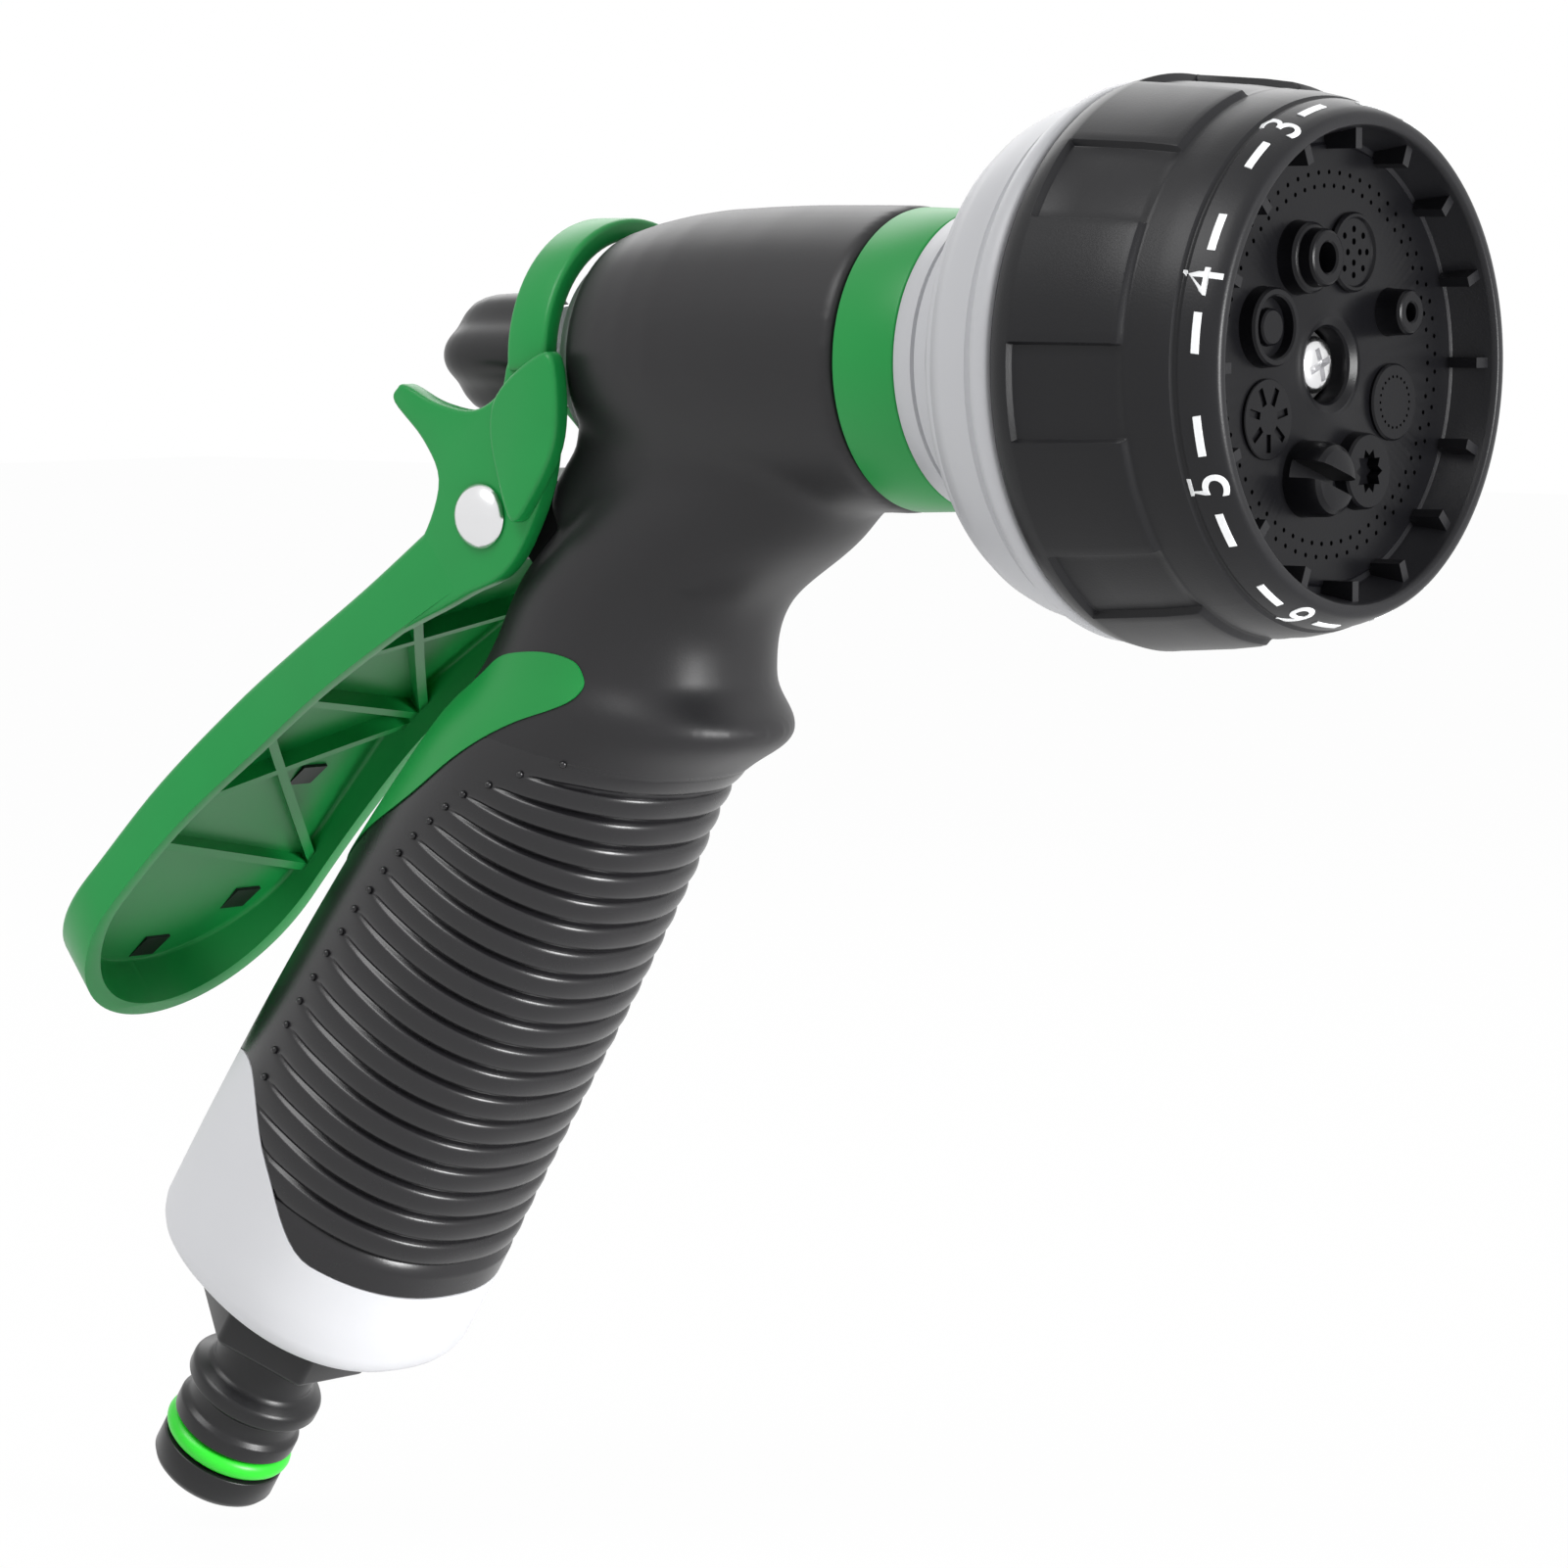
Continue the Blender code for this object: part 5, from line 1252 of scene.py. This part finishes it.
    def body(self, name: str, stations: Sequence[float], length: float, inset: float,
             low: Callable[[float], float], high: Callable[[float], float],
             corner: float) -> bpy.types.Object:
        """Skin a length of lever between two depths.

        Args:
            name: Name of the piece.
            stations: Distances from the pivot to skin through.
            length: Distance from the pivot to the round end.
            inset: How far the sides lie inside the lever's.
            low: Gives the depth of the open side at a distance.
            high: Gives the depth of the palm side at a distance.
            corner: Radius of the palm corners.

        Returns:
            The skinned piece.
        """
        rings = []
        for along in stations:
            half = max(self.half(along, length, inset), self.tip_half)
            rings.append([Vector((depth, across, along))
                          for depth, across in self.section(half, low(along), high(along), corner)])
        return Bench.skin(name, rings, LEVER)

    def build_lever(self) -> bpy.types.Object:
        """Model the channel-shaped lever with its ribs."""
        lever = self.body("trigger_lever", self.stations(self.start, self.length), self.length, 0.0,
                          self.rim_at, self.palm_at, self.corner)
        short = self.length - self.wall
        hollow = self.body("trigger_hollow", self.stations(self.hollow_start, short), short, self.wall,
                           lambda along: self.rim_at(along) - self.hollow_reach,
                           lambda along: self.palm_at(along) - self.floor, self.hollow_corner)
        Bench.cut(lever, [hollow])
        Bench.soften(lever, self.edge_round, angle=self.hard_edge)
        return Bench.merge(lever, [self.channel_rib(i, *row) for i, row in enumerate(self.ribs)])

    def channel_rib(self, index: int, start: float, first: float, end: float,
                    second: float) -> bpy.types.Object:
        """Model one slanting rib of the channel.

        Args:
            index: Number of the rib.
            start: Share of the lever where it starts.
            first: Side where it starts.
            end: Share of the lever where it ends.
            second: Side where it ends.

        Returns:
            The finished rib.
        """
        ends = [Vector((side * self.half(share * self.length, self.length, 0.5 * self.wall),
                        share * self.length)) for share, side in ((start, first), (end, second))]
        way = (ends[1] - ends[0]).normalized()
        across = Vector((-way.y, way.x)) * self.rib_half
        rings = []
        for i in range(self.rib_steps + 1):
            middle = ends[0].lerp(ends[1], i / self.rib_steps)
            ring = []
            for side, high in ((-1.0, False), (-1.0, True), (1.0, True), (1.0, False)):
                spot = middle + side * across
                rim, palm = self.rim_at(spot.y), self.palm_at(spot.y)
                depth = rim + self.rib_sink * (palm - rim) if high else palm - self.rib_root * self.floor
                ring.append(Vector((depth, spot.x, spot.y)))
            rings.append(ring)
        return Bench.skin(f"trigger_rib_{index}", rings, LEVER)

    def build_sides(self) -> list[bpy.types.Object]:
        """Model the two cheeks with their leaf bosses, and the hoop over the barrel."""
        pieces = []
        outside = self.cheek_inside + self.cheek_wall
        for side, name in ((-1.0, "near"), (1.0, "far")):
            for label, outline, low, high, soft in (
                    ("cheek", self.cheek, self.cheek_inside, outside, self.cheek_round),
                    ("leaf", self.leaf, outside - self.leaf_sunk, outside + self.boss_height,
                     self.leaf_round)):
                low, high = sorted((side * low, side * high))
                piece = Bench.slab(f"trigger_{label}_{name}", Bench.curve(outline, 5), low, high, PIVOT)
                pieces.append(Bench.soften(piece, soft, angle=self.hard_edge))
        rear, front = self.hoop_rear, self.hoop_rear + self.hoop_width
        inner, outer = self.hoop_inside, self.hoop_inside + self.hoop_thick
        rings = []
        for i in range(self.hoop_steps + 1):
            angle = math.radians(self.hoop_from + self.hoop_sweep * i / self.hoop_steps)
            rings.append([around(radius, angle, along) for along, radius in (
                (rear, inner), (rear, outer), (front, outer), (front, inner))])
        hoop = Bench.skin("trigger_hoop", rings, BARREL)
        pieces.append(Bench.soften(hoop, self.hoop_round, angle=self.hard_edge))
        return pieces

    def build_pad(self) -> bpy.types.Object:
        """Model the soft pad on the palm side and its anchors in the channel's floor."""
        end = self.length - self.pad_end
        pad = self.body("trigger_soft_pad", self.stations(4.0 * self.start, end), end, self.pad_inset,
                        lambda along: self.palm_at(along) + self.pad_lift,
                        lambda along: self.palm_at(along) + self.pad_lift + self.pad_thick, self.pad_corner)
        Bench.soften(pad, angle=40.0)
        anchors = []
        for i, (share, aside) in enumerate(self.anchors):
            along = share * self.length
            palm = self.palm_at(along)
            deep = self.floor + self.anchor_proud + self.anchor_root + 0.5 * self.pad_thick
            size = Vector((deep, 2.0 * self.anchor_half, 2.0 * self.anchor_half))
            middle = Vector((palm - self.floor - self.anchor_proud + 0.5 * deep, aside, along))
            anchors.append(Bench.box(f"pad_anchor_{i}", size, middle, LEVER))
        return Bench.merge(pad, anchors)

    def build_rivet(self) -> bpy.types.Object:
        """Model the two domed heads of the pivot rivet."""
        heads = [Bench.turn(f"rivet_head_{name}", [(side * along, radius) for along, radius in self.rivet],
                            RIVET, 48) for name, side in (("near", -1.0), ("far", 1.0))]
        return Bench.soften(Bench.merge(heads[0], heads[1:]), angle=60.0)

    def build(self) -> None:
        """Model and dress the trigger."""
        lever = Bench.merge(self.build_lever(), self.build_sides())
        seat(dress(lever, GREEN), Body.TRIGGER, Slot.GREEN, "trigger")
        seat(dress(self.build_pad(), SOFT_BLACK), Body.TRIGGER, Slot.SOFT_BLACK, "trigger_pad")
        seat(dress(self.build_rivet(), STEEL), Body.BODY, Slot.STEEL, "pivot_rivet")


@dataclass
class Springs:
    """The two springs that moving pieces press together, wound in the boxes of their CAD nodes."""

    # node, joint that presses it, its travel, the spring's fixed end along X, half its wire and its turns
    rows: tuple[tuple[str, str, float, float, float, float], ...] = (
        ("return_spring", "valve_slide", 0.0040, 0.0773, 0.00050, 4.5),
        ("click_spring", "click_press", 0.0007, 0.1493, 0.00030, 3.5))
    wire_steps: int = 8
    turn_steps: int = 24

    def wind(self, node: str, wire: float, turns: float) -> bpy.types.Object:
        """Wind one spring along X as a closed tube.

        Args:
            node: CAD node whose box it fills.
            wire: Half the wire's thickness.
            turns: Number of turns.

        Returns:
            The finished spring.
        """
        low, high = (Vector(corner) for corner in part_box(node))
        middle = 0.5 * (low + high)
        radius = 0.5 * min(high.y - low.y, high.z - low.z) - wire
        count = round(turns * self.turn_steps)
        rings = []
        for i in range(count + 1):
            angle = math.tau * i / self.turn_steps
            out = Vector((0.0, math.cos(angle), math.sin(angle)))
            along = low.x + wire + (high.x - low.x - 2.0 * wire) * i / count
            at = Vector((along, middle.y, middle.z)) + radius * out
            rings.append([at + wire * (math.cos(turn) * out + Vector((math.sin(turn), 0.0, 0.0)))
                          for turn in full_turn(self.wire_steps)])
        return Bench.soften(Bench.skin(f"{node}_coil", rings, Matrix()), angle=60.0)

    def build(self) -> None:
        """Wind both springs, each with a mesh of its own."""
        for node, joint, travel, fixed, wire, turns in self.rows:
            piece = seat(dress(self.wind(node, wire, turns), SPRING_STEEL), Body.BODY, Slot.STEEL, node)
            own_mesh(piece)


@dataclass
class Studio:
    """Camera, lights, floor and background."""

    camera_at: tuple[float, float, float] = (0.5323, -0.5314, 0.1478)
    camera_pitch: float = math.radians(85.189)
    camera_yaw: float = math.radians(39.664)
    lens: float = 141.64
    sensor: float = 36.0
    nearest: float = 0.01
    aim: tuple[float, float, float] = (0.075, 0.0, 0.085)
    # name, place, width and power of each lamp
    lamps: tuple[tuple[str, tuple[float, float, float], float, float], ...] = (
        ("key", (0.05, -0.60, 0.85), 0.5, 4.5),
        ("fill", (0.92, 0.06, 0.15), 0.26, 8.0),
        ("rim", (-0.35, 0.45, 0.60), 0.6, 2.0))
    white: tuple[float, ...] = (1.0, 1.0, 1.0, 1.0)
    sky: float = 0.40
    floor_drop: float = 0.0060
    floor_size: float = 6.0
    floor_tone: tuple[float, ...] = (0.90, 0.90, 0.90, 1.0)
    floor_gloss: float = 0.9
    floor_white: float = 0.97

    def build(self) -> None:
        """Set up the whole studio."""
        scene = bpy.context.scene
        scene.view_settings.view_transform = "Standard"
        lens = bpy.data.cameras.new("photo_camera")
        lens.lens = self.lens
        lens.sensor_width = self.sensor
        lens.clip_start = self.nearest
        camera = bpy.data.objects.new("photo_camera", lens)
        camera.location = self.camera_at
        camera.rotation_euler = (self.camera_pitch, 0.0, self.camera_yaw)
        scene.collection.objects.link(camera)
        scene.camera = camera
        for row in self.lamps:
            self.light(*row)
        self.build_world()
        self.build_floor()

    def light(self, name: str, at: tuple[float, float, float], size: float, power: float) -> None:
        """Hang a soft lamp that points at the middle of the nozzle.

        Args:
            name: Name of the lamp.
            at: Where it hangs.
            size: Width of its square.
            power: Watts.
        """
        lamp = bpy.data.lights.new(name, "AREA")
        lamp.size = size
        lamp.energy = power
        item = bpy.data.objects.new(name, lamp)
        item.location = at
        aim = Vector(self.aim) - Vector(at)
        item.rotation_euler = aim.to_track_quat("-Z", "Y").to_euler()
        bpy.context.scene.collection.objects.link(item)

    def seen_white(self, tree: bpy.types.NodeTree, lit: bpy.types.NodeSocket, out: bpy.types.NodeSocket,
                   share: float) -> None:
        """Mix a plain white into a surface for camera, glossy and transmission rays.

        Args:
            tree: Node tree of the floor or world.
            lit: Shader that lights the scene.
            out: Surface input of the output node.
            share: How much white the camera sees.
        """
        nodes, links = tree.nodes, tree.links
        path = nodes.new("ShaderNodeLightPath")
        rays = path.outputs["Is Camera Ray"]
        for kind in ("Is Glossy Ray", "Is Transmission Ray"):
            rays = math_node(tree, "MAXIMUM", rays, path.outputs[kind])
        white = nodes.new("ShaderNodeEmission" if lit.node.type != "BACKGROUND" else "ShaderNodeBackground")
        white.inputs["Color"].default_value = self.white
        white.inputs["Strength"].default_value = 1.0
        mix = nodes.new("ShaderNodeMixShader")
        links.new(math_node(tree, "MULTIPLY", rays, share), mix.inputs["Fac"])
        links.new(lit, mix.inputs[1])
        links.new(white.outputs[0], mix.inputs[2])
        links.new(mix.outputs[0], out)

    def build_world(self) -> None:
        """Make a pale even sky that shows white."""
        world = bpy.data.worlds.new("studio_world")
        world.use_nodes = True
        bpy.context.scene.world = world
        nodes = world.node_tree.nodes
        back = nodes["Background"]
        back.inputs["Color"].default_value = self.white
        back.inputs["Strength"].default_value = self.sky
        self.seen_white(world.node_tree, back.outputs[0], nodes["World Output"].inputs["Surface"], 1.0)

    def build_floor(self) -> None:
        """Lay a plain pale floor just under the nozzle."""
        Bench.clear()
        bpy.ops.mesh.primitive_plane_add(size=self.floor_size, location=(0.0, 0.0, -self.floor_drop))
        floor = bpy.context.object
        floor.name = "studio_floor"
        made = bpy.data.materials.new("pale_floor")
        made.use_nodes = True
        nodes = made.node_tree.nodes
        shader = nodes["Principled BSDF"]
        shader.inputs["Base Color"].default_value = self.floor_tone
        shader.inputs["Roughness"].default_value = self.floor_gloss
        self.seen_white(made.node_tree, shader.outputs[0], nodes["Material Output"].inputs["Surface"],
                        self.floor_white)
        floor.data.materials.append(made)


class Carried:
    """CAD nodes that show as they are, and the finish of each."""

    finishes: dict[Finish, tuple[str, ...]] = {
        HARD_BLACK: ("core_body", "valve_poppet", "channel_plate"),
        SEAL: ("inlet_washer", "flange_seal", "port_seal", "stem_seal_front", "stem_seal_rear",
               "poppet_seal"),
        STEEL: ("seal_retainer", "dial_washer", "valve_stem", "thrust_washer", "click_plunger"),
        SPRING_STEEL: ("port_seal_spring",),
    }

    @classmethod
    def dress(cls) -> None:
        """Give each CAD node its finish."""
        for finish, names in cls.finishes.items():
            for name in names:
                dress(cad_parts[name], finish)


def main() -> None:
    """Build and dress the nozzle and its studio."""
    logging.basicConfig(level=logging.INFO, format="%(message)s")
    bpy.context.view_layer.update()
    Carried.dress()
    grip = Grip()
    grip.build()
    Trim().build(grip)
    Connector().build()
    Dial().build()
    Barrel().build()
    Trigger().build()
    Springs().build()
    Studio().build()
    Bench.clear()


if __name__ == "__main__":
    main()
